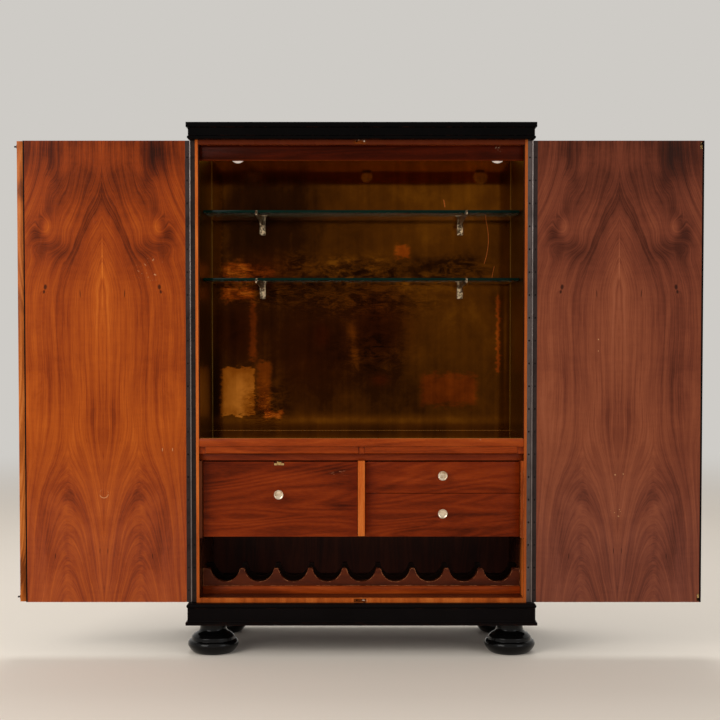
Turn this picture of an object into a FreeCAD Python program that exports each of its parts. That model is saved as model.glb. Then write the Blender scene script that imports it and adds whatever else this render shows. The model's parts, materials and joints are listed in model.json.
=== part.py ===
import FreeCAD, Part
import math
import os

# Bar cabinet on bun feet: two full-height doors on continuous hinges, a brass-lined bar with glass shelves,
# two pull-out slides, a fold-down flap, two drawers and a scalloped bottle rack.
#
# Millimetres. +Z up, the front faces -Y, the origin is on the floor under the middle of the cabinet.
# Rest pose: both doors folded right back, flap shut, slides and drawers in.

V = FreeCAD.Vector

# ---------------------------------------------------------------- carcass
case_width = 975.0
case_depth = 410.0
case_height = 1320.8
side_thickness = 22.5
front_overhang = 30.0  # the plinth stands this far in front of the case
top_board_thickness = 13.1
bottom_board_thickness = 12.6
lipping_width = 7.8
lipping_depth = 10.0
back_panel_thickness = 8.0
back_panel_inset = 1.0

# cornice and cap
cap_thickness = 13.9
cap_side_overhang = 8.5
cap_front_inset = 5.5  # behind the plinth's front
cornice_height = 33.5
cornice_cove = 4.5
cornice_fascia_inset = 5.7
cornice_bead_inset = 3.0
cornice_bead_height = 10.5
cornice_seat = 17.0  # how far the moulding reaches in over the case
cornice_back_rail = 20.0

# plinth and feet
plinth_height = 60.7
plinth_side_overhang = 14.0
plinth_wall = 44.0
plinth_bead_height = 12.4
plinth_bead_inset = 2.5
plinth_fascia_inset = 5.2
plinth_flare_height = 16.0
foot_height = 89.5
foot_side_inset = 71.5  # foot axis from the plinth's side faces
foot_front_inset = 75.0  # foot axis from the plinth's front and the case back
foot_turning = [
    (54.0, 0.0),
    (68.0, 10.0),
    (73.2, 20.0),
    (73.2, 29.0),
    (66.6, 37.3),
    (61.0, 37.3),
    (61.0, 47.3),
    (42.2, 61.0),
    (38.3, 69.5),
    (38.3, foot_height),
]  # (radius, height) up the outline
foot_spigot_radius = 15.0
foot_spigot_length = 35.0
foot_block_half = 46.0
spigot_clearance = 0.05

# bar compartment
bar_depth = 338.0
lining_board = 3.4
brass_sheet = 0.8
brass_floor_recess = 1.0  # behind the floor board's front edge
bar_floor_board_thickness = 23.6
bar_floor_board_top = 622.0
pelmet_height = 43.4
pelmet_thickness = 12.0
pelmet_recess = 14.0
glass_thickness = 7.6
glass_side_gap = 3.3
glass_front_recess = 65.0
glass_back_gap = 3.0
lower_glass_z = 1075.2
upper_glass_z = 1270.8
bracket_x = 304.0
bracket_plate_width = 17.0
bracket_plate_height = 45.0
bracket_plate_thickness = 2.0
bracket_flange_width = 3.5
bracket_flange_depth = 6.0
bracket_arm_width = 5.0
bracket_arm_root = 16.0
bracket_arm_tip = 6.0
bracket_tip_height = 6.0
bracket_tip_thickness = 3.0
batten_width = 60.0

# lamps behind the pelmet
lamp_pitch = 374.0
lamp_line_offset = 18.0
lamp_recess = 60.0
lamp_globes = ((23.0, 22.6), (17.5, 21.0), (23.0, 22.6))  # (radius, centre below the ceiling), left to right
lamp_holder_radius = 15.0
lamp_holder_height = 10.0

# pull-out slides under the bar floor
bed_thickness = 20.9
bed_recess = 22.0
slide_thickness = 19.4
slide_recess = 4.0
slide_depth = 330.0
guide_height = 20.4
guide_width = 18.5
guide_half_centre = 9.0
guide_recess = 9.0
slide_side_gap = 0.7
slide_edge_round = 4.0
finger_groove_radius = 5.0
finger_groove_length = 130.0
finger_groove_from_front = 13.0

# drawer zone
liner_thickness = 8.5
liner_recess = 1.0
divider_thickness = 20.0
divider_nose_rise = 5.0  # its foot in front of the partition stops this far up
partition_thickness = 20.0
partition_top = 356.3
front_recess = 28.0
front_thickness = 18.0
front_top_gap = 4.2
front_side_gap = 1.0
drawer_split_gap = 1.6
upper_front_height = 90.3
drawer_side_thickness = 12.0
drawer_back_thickness = 10.0
drawer_bottom_thickness = 5.0
drawer_bottom_rise = 5.0
drawer_length = 300.0
drawer_top_drop = 9.0
drawer_foot_rise = 3.5
runner_height = 10.0
runner_depth = 5.5
runner_rise = 24.0
runner_clearance = 0.2
runner_end_clearance = 0.5

# flap: turns on two pins near its lower inner corner
flap_corner_radius = 10.0
flap_pin_radius = 3.0
flap_pin_in_flap = 12.0
flap_pin_in_case = 5.0
pin_clearance = 0.05
flap_stop_gap = 0.3
flap_hardware_offset = -4.0  # knob and bolt sit this far off the flap's middle
notch_width = 30.0
notch_height = 10.6
notch_depth = 7.0
bolt_thumb_width = 28.0
bolt_thumb_height = 5.5
bolt_thumb_thickness = 6.0
bolt_tongue_width = 12.0
bolt_tongue_thickness = 4.0
bolt_tongue_length = 34.0
bolt_standing = 2.0
bolt_clearance = 0.3
bolt_socket_depth = 6.0

# knobs
knob_radius = 14.0
knob_length = 24.5
knob_neck_radius = 5.5
knob_collar_radius = 8.5
knob_collar_height = 5.0
knob_belly_height = 7.0
knob_rim_thickness = 3.0
knob_rim_width = 2.4
knob_dish_depth = 1.6
knob_spigot_radius = 3.0
knob_spigot_length = 12.0
flap_knob_drop = 93.1
drawer_knob_lift = 6.5  # above the middle of the drawer front

# bottle rack
rack_recess = 70.0
rack_base_thickness = 21.1
rack_base_depth = 240.0
rack_side_gap = 1.5
rack_rail_step = 15.0
rack_rail_thickness = 18.0
rack_rail_height = 50.5
rack_pitch = 99.8
rack_count = 9
rack_scallop_radius = 43.0
rack_scallop_floor = 11.5
rack_peak_fillet = 4.0
rack_rear_rail_setback = 105.0

# doors
door_thickness = 21.5
door_top_gap = 2.0
door_bottom_gap = 1.3
veneer = 1.2
door_edge_gap = 1.0  # door edge to hinge axis
left_strip_width = 4.0
right_strip_width = 5.5
left_inner_reach = 475.0  # hinge axis to the left door's rebate
left_lip_reach = 494.0
lip_depth = 9.0  # the lip lies this far behind the inner face
right_reach = 487.0
right_shoulder_reach = 478.0
tongue_depth = 8.0

# continuous hinges
hinge_axis_inset = 0.5  # inside the case's outer face
hinge_barrel_radius = 2.2
hinge_pin_radius = 1.1
hinge_leaf_thickness = 1.2
hinge_leaf_width = 14.0
hinge_barrel_stand_off = 1.3  # barrel axis in front of the case face
hinge_knuckles = 7
hinge_knuckle_gap = 0.4

# lock bolts of the left door and their plates
lock_bolt_radius = 2.5
lock_bolt_stand_out = 8.0
lock_bolt_length = 18.0
lock_bolt_from_top = 15.5
lock_bolt_from_bottom = 13.0
lock_bolt_depth = 15.2
lock_plate_height = 11.0
lock_plate_width = 9.0
lock_plate_thickness = 1.2
lock_socket_clearance = 0.7
lock_socket_depth = 12.0
bore_clearance = 0.08
escutcheon_width = 16.0
escutcheon_height = 30.0
escutcheon_thickness = 1.2
escutcheon_from_axis = 462.0
keyhole_radius = 2.6
keyhole_slot = 9.0
keyhole_depth = 12.0

# flush bolts of the right door
flush_bolt_radius = 2.0
flush_bolt_depth = 4.5
flush_bolt_from_axis = 478.3
flush_thumb_width = 5.7
flush_thumb_height = 11.0
flush_thumb_from_end = 12.5
flush_thumb_proud = 0.8
flush_bolt_travel = 9.0
flush_slot_clearance = 0.3
flush_socket_clearance = 0.6
flush_socket_depth = 10.5

# strike plates on the middle of the top and bottom rails
strike_width = 36.0
strike_height = 10.0
strike_thickness = 1.1
strike_bar_width = 5.0
strike_offset = -4.0
strike_bar_x = 8.0

# lamp lead outlet in the back
grommet_hole_radius = 6.0
grommet_flange_radius = 11.0
grommet_wall = 1.5
grommet_from_side = 45.0
grommet_drop = 30.0

# ---------------------------------------------------------------- derived levels
half_case = case_width / 2
half_inside = half_case - side_thickness
total_depth = case_depth + front_overhang
front_edge = -total_depth / 2
face = front_edge + front_overhang
back = total_depth / 2
back_panel_face = back - back_panel_inset - back_panel_thickness

plinth_top = foot_height + plinth_height
case_top = plinth_top + case_height
cap_bottom = case_top + cornice_height
cap_top = cap_bottom + cap_thickness
cap_half = half_case + cap_side_overhang
bottom_board_top = plinth_top + bottom_board_thickness
ceiling = case_top - top_board_thickness
bar_floor_board_bottom = bar_floor_board_top - bar_floor_board_thickness
bar_floor = bar_floor_board_top + brass_sheet
bar_half = half_inside - lining_board - brass_sheet
floor_board_front = face + slide_recess / 2
bed_top = bar_floor_board_bottom - guide_height
bed_bottom = bed_top - bed_thickness
partition_bottom = partition_top - partition_thickness
liner_face = half_inside - liner_thickness
front_face = face + front_recess
front_back = front_face + front_thickness
front_top = bed_bottom - front_top_gap
front_bottom = partition_bottom
partition_front = front_back + flap_stop_gap
divider_half = divider_thickness / 2
bay_outer = liner_face - front_side_gap
bay_inner = divider_half + front_side_gap

door_bottom = plinth_top + door_bottom_gap
door_top = case_top - door_top_gap
door_height = door_top - door_bottom
hinge_x = half_case - hinge_axis_inset
hinge_y = face - hinge_barrel_stand_off
door_edge = hinge_x + door_edge_gap
leaf_inner = hinge_x - hinge_leaf_width
leaf_outer = hinge_x + hinge_leaf_width

plinth_half = half_case + plinth_side_overhang
plinth_front = front_edge
cap_front = front_edge + cap_front_inset
foot_x = plinth_half - foot_side_inset
foot_y_front = plinth_front + foot_front_inset
foot_y_rear = back - foot_front_inset


# ---------------------------------------------------------------- shape helpers
def box(x0, x1, y0, y1, z0, z1):
    return Part.makeBox(abs(x1 - x0), y1 - y0, z1 - z0, V(min(x0, x1), y0, z0))


def rod(radius, length, start, direction):
    return Part.makeCylinder(radius, length, start, direction)


def arc(start, middle, end):
    return Part.Arc(start, middle, end).toShape()


def line(start, end):
    return Part.makeLine(start, end)


def chain(points):
    """Edges through points; a triple (point, middle) makes the edge that ends there an arc."""
    edges = []
    here = points[0]
    for step in points[1:]:
        if isinstance(step, tuple):
            middle, there = step
            edges.append(arc(here, middle, there))
        else:
            there = step
            edges.append(line(here, there))
        here = there
    return edges


def face_of(points):
    return Part.Face(Part.Wire(chain(points + [points[0]])))


def compound(shapes):
    return Part.makeCompound(shapes)


def export(name, shape):
    if not shape.isValid():
        raise ValueError("invalid shape: " + name)
    shape.exportStep("parts/" + name + ".step")


# ---------------------------------------------------------------- carcass pieces
def side_panel(side):
    panel = box(side * half_inside, side * half_case, face + hinge_leaf_thickness, back, plinth_top, case_top)
    lipping = box(
        side * half_inside,
        side * (half_inside + lipping_width),
        face,
        face + lipping_depth,
        plinth_top,
        case_top,
    )
    return panel.cut(lipping)


def front_lippings():
    strips = []
    for side in (-1, 1):
        strips.append(
            box(
                side * half_inside,
                side * (half_inside + lipping_width),
                face,
                face + lipping_depth,
                plinth_top,
                case_top,
            )
        )
    for low, high in ((plinth_top, bottom_board_top), (ceiling, case_top)):
        strips.append(box(-half_inside, half_inside, face, face + lipping_depth, low, high))
    return compound(strips)


def horizontal_board(low, high, front):
    return box(-half_inside, half_inside, front, back_panel_face, low, high)


def top_board():
    return horizontal_board(ceiling, case_top, face + lipping_depth)


def bottom_board():
    return horizontal_board(plinth_top, bottom_board_top, face + lipping_depth)


def back_panel():
    panel = box(-half_inside, half_inside, back_panel_face, back - back_panel_inset, plinth_top, case_top)
    radius = grommet_hole_radius + grommet_wall + spigot_clearance
    hole = rod(radius, back_panel_thickness, grommet_place(), V(0, 1, 0))
    return panel.cut(hole)


def grommet_place():
    return V(half_inside - grommet_from_side, back_panel_face, ceiling - grommet_drop)


def cable_grommet():
    place = grommet_place()
    sleeve = rod(grommet_hole_radius + grommet_wall, back_panel_thickness, place, V(0, 1, 0))
    outside = place + V(0, back_panel_thickness, 0)
    flange = rod(grommet_flange_radius, back_panel_inset, outside, V(0, 1, 0))
    through = rod(grommet_hole_radius, back_panel_thickness + back_panel_inset, place, V(0, 1, 0))
    return sleeve.fuse(flange).cut(through).removeSplitter()


# ---------------------------------------------------------------- mouldings
def cornice_profile(outer, inner):
    """Cross-section in (outward, up): cove under the cap, flat fascia, half-round bead at the foot."""
    fascia = outer - cornice_fascia_inset
    bead = outer - cornice_bead_inset
    bead_top = case_top + cornice_bead_height
    bead_radius = cornice_bead_height / 2
    cove_foot = cap_bottom - cornice_cove
    cove_mouth = fascia + cornice_cove
    slack = cornice_cove * (1 - math.sqrt(0.5))
    return [
        (inner, case_top),
        (bead - bead_radius, case_top),
        ((bead, case_top + bead_radius), (bead - bead_radius, bead_top)),
        (fascia, bead_top),
        (fascia, cove_foot),
        ((fascia + slack, cap_bottom - slack), (cove_mouth, cap_bottom)),
        (inner, cap_bottom),
    ]


def plinth_profile(outer, inner):
    """Cross-section of the plinth: a bead along the top, a flat face and a flared foot."""
    bead = outer - plinth_bead_inset
    bead_low = plinth_top - plinth_bead_height
    bead_radius = plinth_bead_height / 2
    fascia = outer - plinth_fascia_inset
    flare_top = foot_height + plinth_flare_height
    flare_low = foot_height + plinth_flare_height / 2
    slack = plinth_fascia_inset * (1 - math.sqrt(0.5))
    return [
        (inner, foot_height),
        (outer, foot_height),
        (outer, flare_low),
        ((fascia + slack, flare_low + slack), (fascia, flare_top)),
        (fascia, bead_low),
        (bead - bead_radius, bead_low),
        ((bead, bead_low + bead_radius), (bead - bead_radius, plinth_top)),
        (inner, plinth_top),
    ]


def lifted(profile, place):
    """The profile's points carried into space by place(outward, up)."""
    points = []
    for step in profile:
        if isinstance(step[0], tuple):
            points.append(tuple(place(*point) for point in step))
        else:
            points.append(place(*step))
    return points


def half_space(normal_x, normal_y, corner_x, corner_y, reach):
    """A tall block covering the side of a vertical mitre plane that (normal_x, normal_y) points to."""
    block = Part.makeBox(reach, 2 * reach, 2 * reach, V(0, -reach, -reach))
    turn = math.degrees(math.atan2(normal_y, normal_x))
    block.rotate(V(0, 0, 0), V(0, 0, 1), turn)
    block.translate(V(corner_x, corner_y, 0))
    return block


def moulding_set(profile, half_width, front, seat_x, seat_y):
    """A front length and two returns, mitred at 45 degrees on the vertical corner lines."""
    reach = 3 * case_height
    front_points = lifted(profile(-front, seat_y), lambda out, up: V(-half_width, -out, up))
    front_bar = face_of(front_points).extrude(V(2 * half_width, 0, 0))
    pieces = []
    for side in (-1, 1):
        cutter = half_space(side, 1, side * half_width, front, reach)
        front_bar = front_bar.cut(cutter)
        side_points = lifted(profile(half_width, seat_x), lambda out, up: V(side * out, front, up))
        return_bar = face_of(side_points).extrude(V(0, back - front, 0))
        pieces.append(return_bar.common(half_space(side, 1, side * half_width, front, reach)))
    return [front_bar] + pieces


def cornice():
    seat_x = half_case - cornice_seat
    seat_y = -(face + cornice_seat)
    pieces = moulding_set(cornice_profile, cap_half, cap_front, seat_x, seat_y)
    pieces[0] = pieces[0].cut(bolt_socket(case_top, 1))
    pieces.append(box(-seat_x, seat_x, back - cornice_back_rail, back, case_top, cap_bottom))
    return compound(pieces)


def cap_board():
    return box(-cap_half, cap_half, cap_front, back, cap_bottom, cap_top)


def plinth_mouldings():
    seat_x = plinth_half - plinth_wall
    seat_y = -(plinth_front + plinth_wall)
    pieces = moulding_set(plinth_profile, plinth_half, plinth_front, seat_x, seat_y)
    pieces[0] = pieces[0].cut(bolt_socket(plinth_top, -1))
    return compound(pieces)


def plinth_frame():
    """Back rail and the four blocks that the feet are doweled into."""
    inner_x = plinth_half - plinth_wall
    front_inner = plinth_front + plinth_wall
    pieces = [box(-inner_x, inner_x, back - plinth_wall, back, foot_height, plinth_top)]
    hole_radius = foot_spigot_radius + spigot_clearance
    for side in (-1, 1):
        for y, low, high in (
            (foot_y_front, front_inner, foot_y_front + foot_block_half),
            (foot_y_rear, foot_y_rear - foot_block_half, back - plinth_wall),
        ):
            block = box(side * (foot_x - foot_block_half), side * inner_x, low, high, foot_height, plinth_top)
            hole = rod(hole_radius, foot_spigot_length, V(side * foot_x, y, foot_height), V(0, 0, 1))
            pieces.append(block.cut(hole))
    return compound(pieces)


def bun_foot(x, y):
    """Turned foot: tapered base, wide rounded disc, dome, thin collar, coved neck and spigot."""
    steps = [(0, 0)] + foot_turning + [
        (foot_spigot_radius, foot_height),
        (foot_spigot_radius, foot_height + foot_spigot_length),
        (0, foot_height + foot_spigot_length),
    ]
    outline = face_of(lifted(steps, lambda out, up: V(out, 0, up)))
    foot = outline.revolve(V(0, 0, 0), V(0, 0, 1), 360)
    foot.translate(V(x, y, 0))
    return foot


def bun_feet():
    feet = [bun_foot(side * foot_x, y) for side in (-1, 1) for y in (foot_y_front, foot_y_rear)]
    return compound(feet)


# ---------------------------------------------------------------- bar compartment
def lining_boards():
    back_face = face + bar_depth
    boards = [
        box(
            side * (half_inside - lining_board),
            side * half_inside,
            face,
            back_face + brass_sheet + lining_board,
            bar_floor_board_top,
            ceiling,
        )
        for side in (-1, 1)
    ]
    inner = half_inside - lining_board
    back_low = back_face + brass_sheet
    boards.append(box(-inner, inner, back_low, back_low + lining_board, bar_floor_board_top, ceiling))
    return compound(boards)


def brass_sheets():
    """Sheets that line the sides, the back and the floor of the bar."""
    back_face = face + bar_depth
    low = bar_floor_board_top
    front = floor_board_front + brass_floor_recess
    inner = half_inside - lining_board
    sheets = [box(side * bar_half, side * inner, face, back_face, low, ceiling) for side in (-1, 1)]
    sheets.append(box(-inner, inner, back_face, back_face + brass_sheet, low, ceiling))
    sheets.append(box(-bar_half, bar_half, front, back_face, low, bar_floor))
    return compound(sheets)


def bar_floor_board():
    return horizontal_board(bar_floor_board_bottom, bar_floor_board_top, floor_board_front)


def pelmet():
    low = ceiling - pelmet_height
    start = face + pelmet_recess
    return box(-bar_half, bar_half, start, start + pelmet_thickness, low, ceiling)


def lamp_places():
    return [V(lamp_line_offset + n * lamp_pitch, face + lamp_recess, ceiling) for n in (-1, 0, 1)]


def lamp_holders():
    holders = []
    for place in lamp_places():
        holders.append(rod(lamp_holder_radius, lamp_holder_height, place, V(0, 0, -1)))
    return compound(holders)


def lamp_bulbs():
    """Globes cut off flat where they sit against their holders; the middle one is smaller."""
    bulbs = []
    for place, (radius, centre) in zip(lamp_places(), lamp_globes):
        globe = Part.makeSphere(radius, place - V(0, 0, centre))
        seat = place.z - lamp_holder_height
        over = rod(radius, radius, V(place.x, place.y, seat), V(0, 0, 1))
        bulbs.append(globe.cut(over))
    return compound(bulbs)


def glass_shelves():
    half = bar_half - glass_side_gap
    start = face + glass_front_recess
    end = face + bar_depth - glass_back_gap
    shelves = []
    for low in (lower_glass_z, upper_glass_z):
        shelves.append(box(-half, half, start, end, low, low + glass_thickness))
    return compound(shelves)


def bracket(x, top):
    """Channel-shaped back plate with a tapered arm whose tip turns up in front of the glass."""
    wall = face + bar_depth
    tip = face + glass_front_recess - bracket_tip_thickness
    arm_half = bracket_arm_width / 2
    plate = box(
        x - bracket_plate_width / 2,
        x + bracket_plate_width / 2,
        wall - bracket_plate_thickness,
        wall,
        top - bracket_plate_height,
        top,
    )
    arm = face_of(
        [
            V(x - arm_half, wall - bracket_plate_thickness, top),
            V(x - arm_half, tip + bracket_tip_thickness, top),
            V(x - arm_half, tip + bracket_tip_thickness, top + bracket_tip_height),
            V(x - arm_half, tip, top + bracket_tip_height),
            V(x - arm_half, tip, top - bracket_arm_tip),
            V(x - arm_half, wall - bracket_plate_thickness, top - bracket_arm_root),
        ]
    ).extrude(V(bracket_arm_width, 0, 0))
    bits = [arm]
    for edge, inward in ((x - bracket_plate_width / 2, 1), (x + bracket_plate_width / 2, -1)):
        flange_end = edge + inward * bracket_flange_width
        flange_start = wall - bracket_flange_depth
        bits.append(box(edge, flange_end, flange_start, wall, top - bracket_plate_height, top))
    return plate.multiFuse(bits).removeSplitter()


def shelf_brackets():
    tops = (lower_glass_z, upper_glass_z)
    return compound([bracket(side * bracket_x, top) for side in (-1, 1) for top in tops])


def back_battens():
    start = face + bar_depth + brass_sheet + lining_board
    battens = []
    for side in (-1, 1):
        middle = side * bracket_x
        battens.append(
            box(
                middle - batten_width / 2,
                middle + batten_width / 2,
                start,
                back_panel_face,
                bar_floor_board_top,
                ceiling,
            )
        )
    return compound(battens)


# ---------------------------------------------------------------- slides
def slide_bed():
    bed = horizontal_board(bed_bottom, bed_top, face + bed_recess)
    return bed.cut(flap_bolt_socket())


def slide_guides():
    start = face + guide_recess
    inner = half_inside - guide_width
    spans = [(-half_inside, -inner), (-guide_half_centre, guide_half_centre), (inner, half_inside)]
    return compound([box(a, b, start, back_panel_face, bed_top, bed_top + guide_height) for a, b in spans])


def slide(side):
    """A serving slide with a finger groove along its underside, just behind the front edge."""
    low = bed_top + runner_clearance
    start = face + slide_recess
    inner = guide_half_centre + slide_side_gap
    outer = half_inside - guide_width - slide_side_gap
    board = box(side * inner, side * outer, start, start + slide_depth, low, low + slide_thickness)
    middle = side * (inner + outer) / 2
    groove = rod(
        finger_groove_radius,
        finger_groove_length,
        V(middle - finger_groove_length / 2, start + finger_groove_from_front, low),
        V(1, 0, 0),
    )
    lower_edge = [
        edge
        for edge in board.Edges
        if all(abs(point.Y - start) < 0.01 and abs(point.Z - low) < 0.01 for point in edge.Vertexes)
    ]
    return board.makeFillet(slide_edge_round, lower_edge).cut(groove)


# ---------------------------------------------------------------- drawer zone
def liners():
    """Linings of the case sides beside the flap and drawers, down past the partition board's front."""
    start = face + liner_recess
    pieces = []
    for side in (-1, 1):
        inner = side * liner_face
        outer = side * half_inside
        upper = box(inner, outer, start, back_panel_face, partition_top, bed_bottom)
        nose = box(inner, outer, start, partition_front, partition_bottom, partition_top)
        pieces.append(upper.fuse(nose).removeSplitter().cut(flap_pin_bore(-liner_face, -1)))
    return compound(pieces)


def centre_divider():
    """Upright between flap and drawers; its front runs down over the partition's edge."""
    start = face + liner_recess
    upright = box(-divider_half, divider_half, start, back_panel_face, partition_top, bed_bottom)
    low = partition_bottom + divider_nose_rise
    nose = box(-divider_half, divider_half, start, partition_front, low, partition_top)
    return upright.fuse(nose).removeSplitter().cut(flap_pin_bore(-divider_half, 1))


def partition_board():
    return horizontal_board(partition_bottom, partition_top, partition_front)


# ---------------------------------------------------------------- flap
flap_axis_y = front_back - flap_corner_radius
flap_axis_z = front_bottom + flap_corner_radius
flap_left = -bay_outer
flap_right = -bay_inner
flap_middle = (flap_left + flap_right) / 2 + flap_hardware_offset


def flap_pin_bore(wall_x, direction):
    place = V(wall_x, flap_axis_y, flap_axis_z)
    return rod(flap_pin_radius + pin_clearance, flap_pin_in_case, place, V(direction, 0, 0))


def flap_pins():
    length = flap_pin_in_flap + flap_pin_in_case + front_side_gap
    left_end = V(-liner_face - flap_pin_in_case, flap_axis_y, flap_axis_z)
    right_end = V(flap_pin_in_case - divider_half, flap_axis_y, flap_axis_z)
    left = rod(flap_pin_radius, length, left_end, V(1, 0, 0))
    right = rod(flap_pin_radius, length, right_end, V(-1, 0, 0))
    return compound([left, right])


def flap_panel():
    radius = flap_corner_radius
    slack = radius * math.sqrt(0.5)
    outline = [
        V(flap_left, front_face, front_bottom),
        V(flap_left, flap_axis_y, front_bottom),
        (V(flap_left, flap_axis_y + slack, flap_axis_z - slack), V(flap_left, front_back, flap_axis_z)),
        V(flap_left, front_back, front_top),
        V(flap_left, front_face, front_top),
    ]
    panel = face_of(outline).extrude(V(flap_right - flap_left, 0, 0))
    bore = flap_pin_radius + pin_clearance
    depth = flap_pin_in_flap + bolt_clearance
    for x, direction in ((flap_left, 1), (flap_right, -1)):
        panel = panel.cut(rod(bore, depth, V(x, flap_axis_y, flap_axis_z), V(direction, 0, 0)))
    notch = box(
        flap_middle - notch_width / 2,
        flap_middle + notch_width / 2,
        front_face,
        front_face + notch_depth,
        front_top - notch_height,
        front_top,
    )
    half_slot = bolt_tongue_width / 2 + bolt_clearance
    slot = box(
        flap_middle - half_slot,
        flap_middle + half_slot,
        front_face + notch_depth - bolt_clearance,
        front_face + notch_depth + bolt_tongue_thickness + bolt_clearance,
        front_top + bolt_standing - bolt_tongue_length - bolt_clearance,
        front_top,
    )
    knob_hole = knob_socket(flap_middle, front_top - flap_knob_drop)
    return panel.cut(notch).cut(slot).cut(knob_hole)


def flap_bolt():
    """Thumb bar in the notch, with a tongue behind it that slides up into the bed."""
    low = front_top - notch_height + bolt_clearance
    start = front_face + notch_depth - bolt_thumb_thickness
    thumb = box(
        flap_middle - bolt_thumb_width / 2,
        flap_middle + bolt_thumb_width / 2,
        start,
        front_face + notch_depth - bolt_clearance,
        low,
        low + bolt_thumb_height,
    )
    tongue_top = front_top + bolt_standing
    tongue = box(
        flap_middle - bolt_tongue_width / 2,
        flap_middle + bolt_tongue_width / 2,
        front_face + notch_depth - bolt_clearance,
        front_face + notch_depth + bolt_tongue_thickness,
        tongue_top - bolt_tongue_length,
        tongue_top,
    )
    return thumb.fuse(tongue).removeSplitter()


def flap_bolt_socket():
    half_slot = bolt_tongue_width / 2 + bolt_clearance * 2
    return box(
        flap_middle - half_slot,
        flap_middle + half_slot,
        front_face + notch_depth - 2 * bolt_clearance,
        front_face + notch_depth + bolt_tongue_thickness + 2 * bolt_clearance,
        bed_bottom,
        bed_bottom + bolt_socket_depth,
    )


# ---------------------------------------------------------------- knobs
def knob_socket(x, z):
    radius = knob_spigot_radius + spigot_clearance
    return rod(radius, knob_spigot_length, V(x, front_face, z), V(0, 1, 0))


def knob(x, z):
    """Turned knob: collar, waisted neck, mushroom head with a rim round a shallow dish."""
    head = knob_length - knob_rim_thickness
    steps = [
        (0, -knob_spigot_length),
        (knob_spigot_radius, -knob_spigot_length),
        (knob_spigot_radius, 0),
        (knob_collar_radius, 0),
        (knob_neck_radius, knob_collar_height),
        (knob_neck_radius, head - knob_belly_height),
        (knob_radius, head),
        (knob_radius, knob_length),
        (knob_radius - knob_rim_width, knob_length),
        (knob_radius - knob_rim_width, knob_length - knob_dish_depth),
        (0, knob_length - knob_dish_depth),
    ]
    outline = face_of(lifted(steps, lambda out, up: V(out, -up, 0)))
    shape = outline.revolve(V(0, 0, 0), V(0, 1, 0), 360)
    shape.translate(V(x, front_face, z))
    return shape


# ---------------------------------------------------------------- drawers
lower_front_top = front_top - upper_front_height - drawer_split_gap
drawer_middle = (bay_inner + bay_outer) / 2
drawer_levels = {
    "upper": (front_top - upper_front_height, front_top, front_top - upper_front_height + drawer_foot_rise),
    "lower": (front_bottom, lower_front_top, partition_top + drawer_foot_rise),
}


def drawer_knob_level(low, high):
    return (low + high) / 2 + drawer_knob_lift


def drawer_front(name):
    low, high, box_low = drawer_levels[name]
    panel = box(bay_inner, bay_outer, front_face, front_back, low, high)
    return panel.cut(knob_socket(drawer_middle, drawer_knob_level(low, high)))


def drawer_knob(name):
    low, high, box_low = drawer_levels[name]
    return knob(drawer_middle, drawer_knob_level(low, high))


def drawer_box(name):
    """Sides grooved for the runners, a back and a thin bottom between them."""
    low, high, box_low = drawer_levels[name]
    box_high = high - drawer_top_drop
    end = front_back + drawer_length
    inner_left = bay_inner + drawer_side_thickness
    inner_right = bay_outer - drawer_side_thickness
    groove_low = box_low + runner_rise - runner_clearance
    groove_high = groove_low + runner_height + 2 * runner_clearance
    groove_depth = runner_depth - front_side_gap + runner_end_clearance
    pieces = []
    for outer, inner, groove in (
        (bay_inner, inner_left, bay_inner + groove_depth),
        (bay_outer, inner_right, bay_outer - groove_depth),
    ):
        wall = box(outer, inner, front_back, end, box_low, box_high)
        pieces.append(wall.cut(box(outer, groove, front_back, end, groove_low, groove_high)))
    back_low = box_low + drawer_bottom_rise + drawer_bottom_thickness
    pieces.append(box(inner_left, inner_right, end - drawer_back_thickness, end, back_low, box_high))
    bottom_low = box_low + drawer_bottom_rise
    bottom_high = bottom_low + drawer_bottom_thickness
    pieces.append(box(inner_left, inner_right, front_back, end, bottom_low, bottom_high))
    return compound(pieces)


def drawer_runners():
    strips = []
    start = front_back + drawer_back_thickness
    for name in drawer_levels:
        low = drawer_levels[name][2] + runner_rise
        for wall, direction in ((divider_half, 1), (liner_face, -1)):
            inner = wall + direction * runner_depth
            strips.append(box(wall, inner, start, back_panel_face, low, low + runner_height))
    return compound(strips)


# ---------------------------------------------------------------- bottle rack
rack_half = half_inside - rack_side_gap
rack_base_top = bottom_board_top + rack_base_thickness


def rack_base():
    start = face + rack_recess
    return box(-rack_half, rack_half, start, start + rack_base_depth, bottom_board_top, rack_base_top)


def scalloped_rail(start):
    """Rail with a row of round hollows for bottles; the peaks between them have rounded shoulders."""
    top = rack_base_top + rack_rail_height
    centre_z = rack_base_top + rack_scallop_floor + rack_scallop_radius
    rail = box(-rack_half, rack_half, start, start + rack_rail_thickness, rack_base_top, top)
    hollows = []
    for n in range(rack_count):
        x = (n - (rack_count - 1) / 2) * rack_pitch
        hollows.append(rod(rack_scallop_radius, rack_rail_thickness, V(x, start, centre_z), V(0, 1, 0)))
    rail = rail.cut(hollows)
    peaks = []
    for edge in rail.Edges:
        runs_back = len(edge.Vertexes) == 2 and abs(edge.Vertexes[0].Y - edge.Vertexes[1].Y) > 1
        inside = abs(edge.Vertexes[0].X) < rack_half - 1
        if runs_back and inside and abs(edge.Vertexes[0].Z - top) < 0.01:
            peaks.append(edge)
    return rail.makeFillet(rack_peak_fillet, peaks)


def rack_rails():
    front_rail = face + rack_recess + rack_rail_step
    return compound([scalloped_rail(front_rail), scalloped_rail(front_rail + rack_rear_rail_setback)])


# ---------------------------------------------------------------- hinges
def knuckle_spans():
    pitch = door_height / hinge_knuckles
    spans = []
    for n in range(hinge_knuckles):
        low = door_bottom + n * pitch + hinge_knuckle_gap / 2
        spans.append((low, low + pitch - hinge_knuckle_gap))
    return spans


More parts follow.
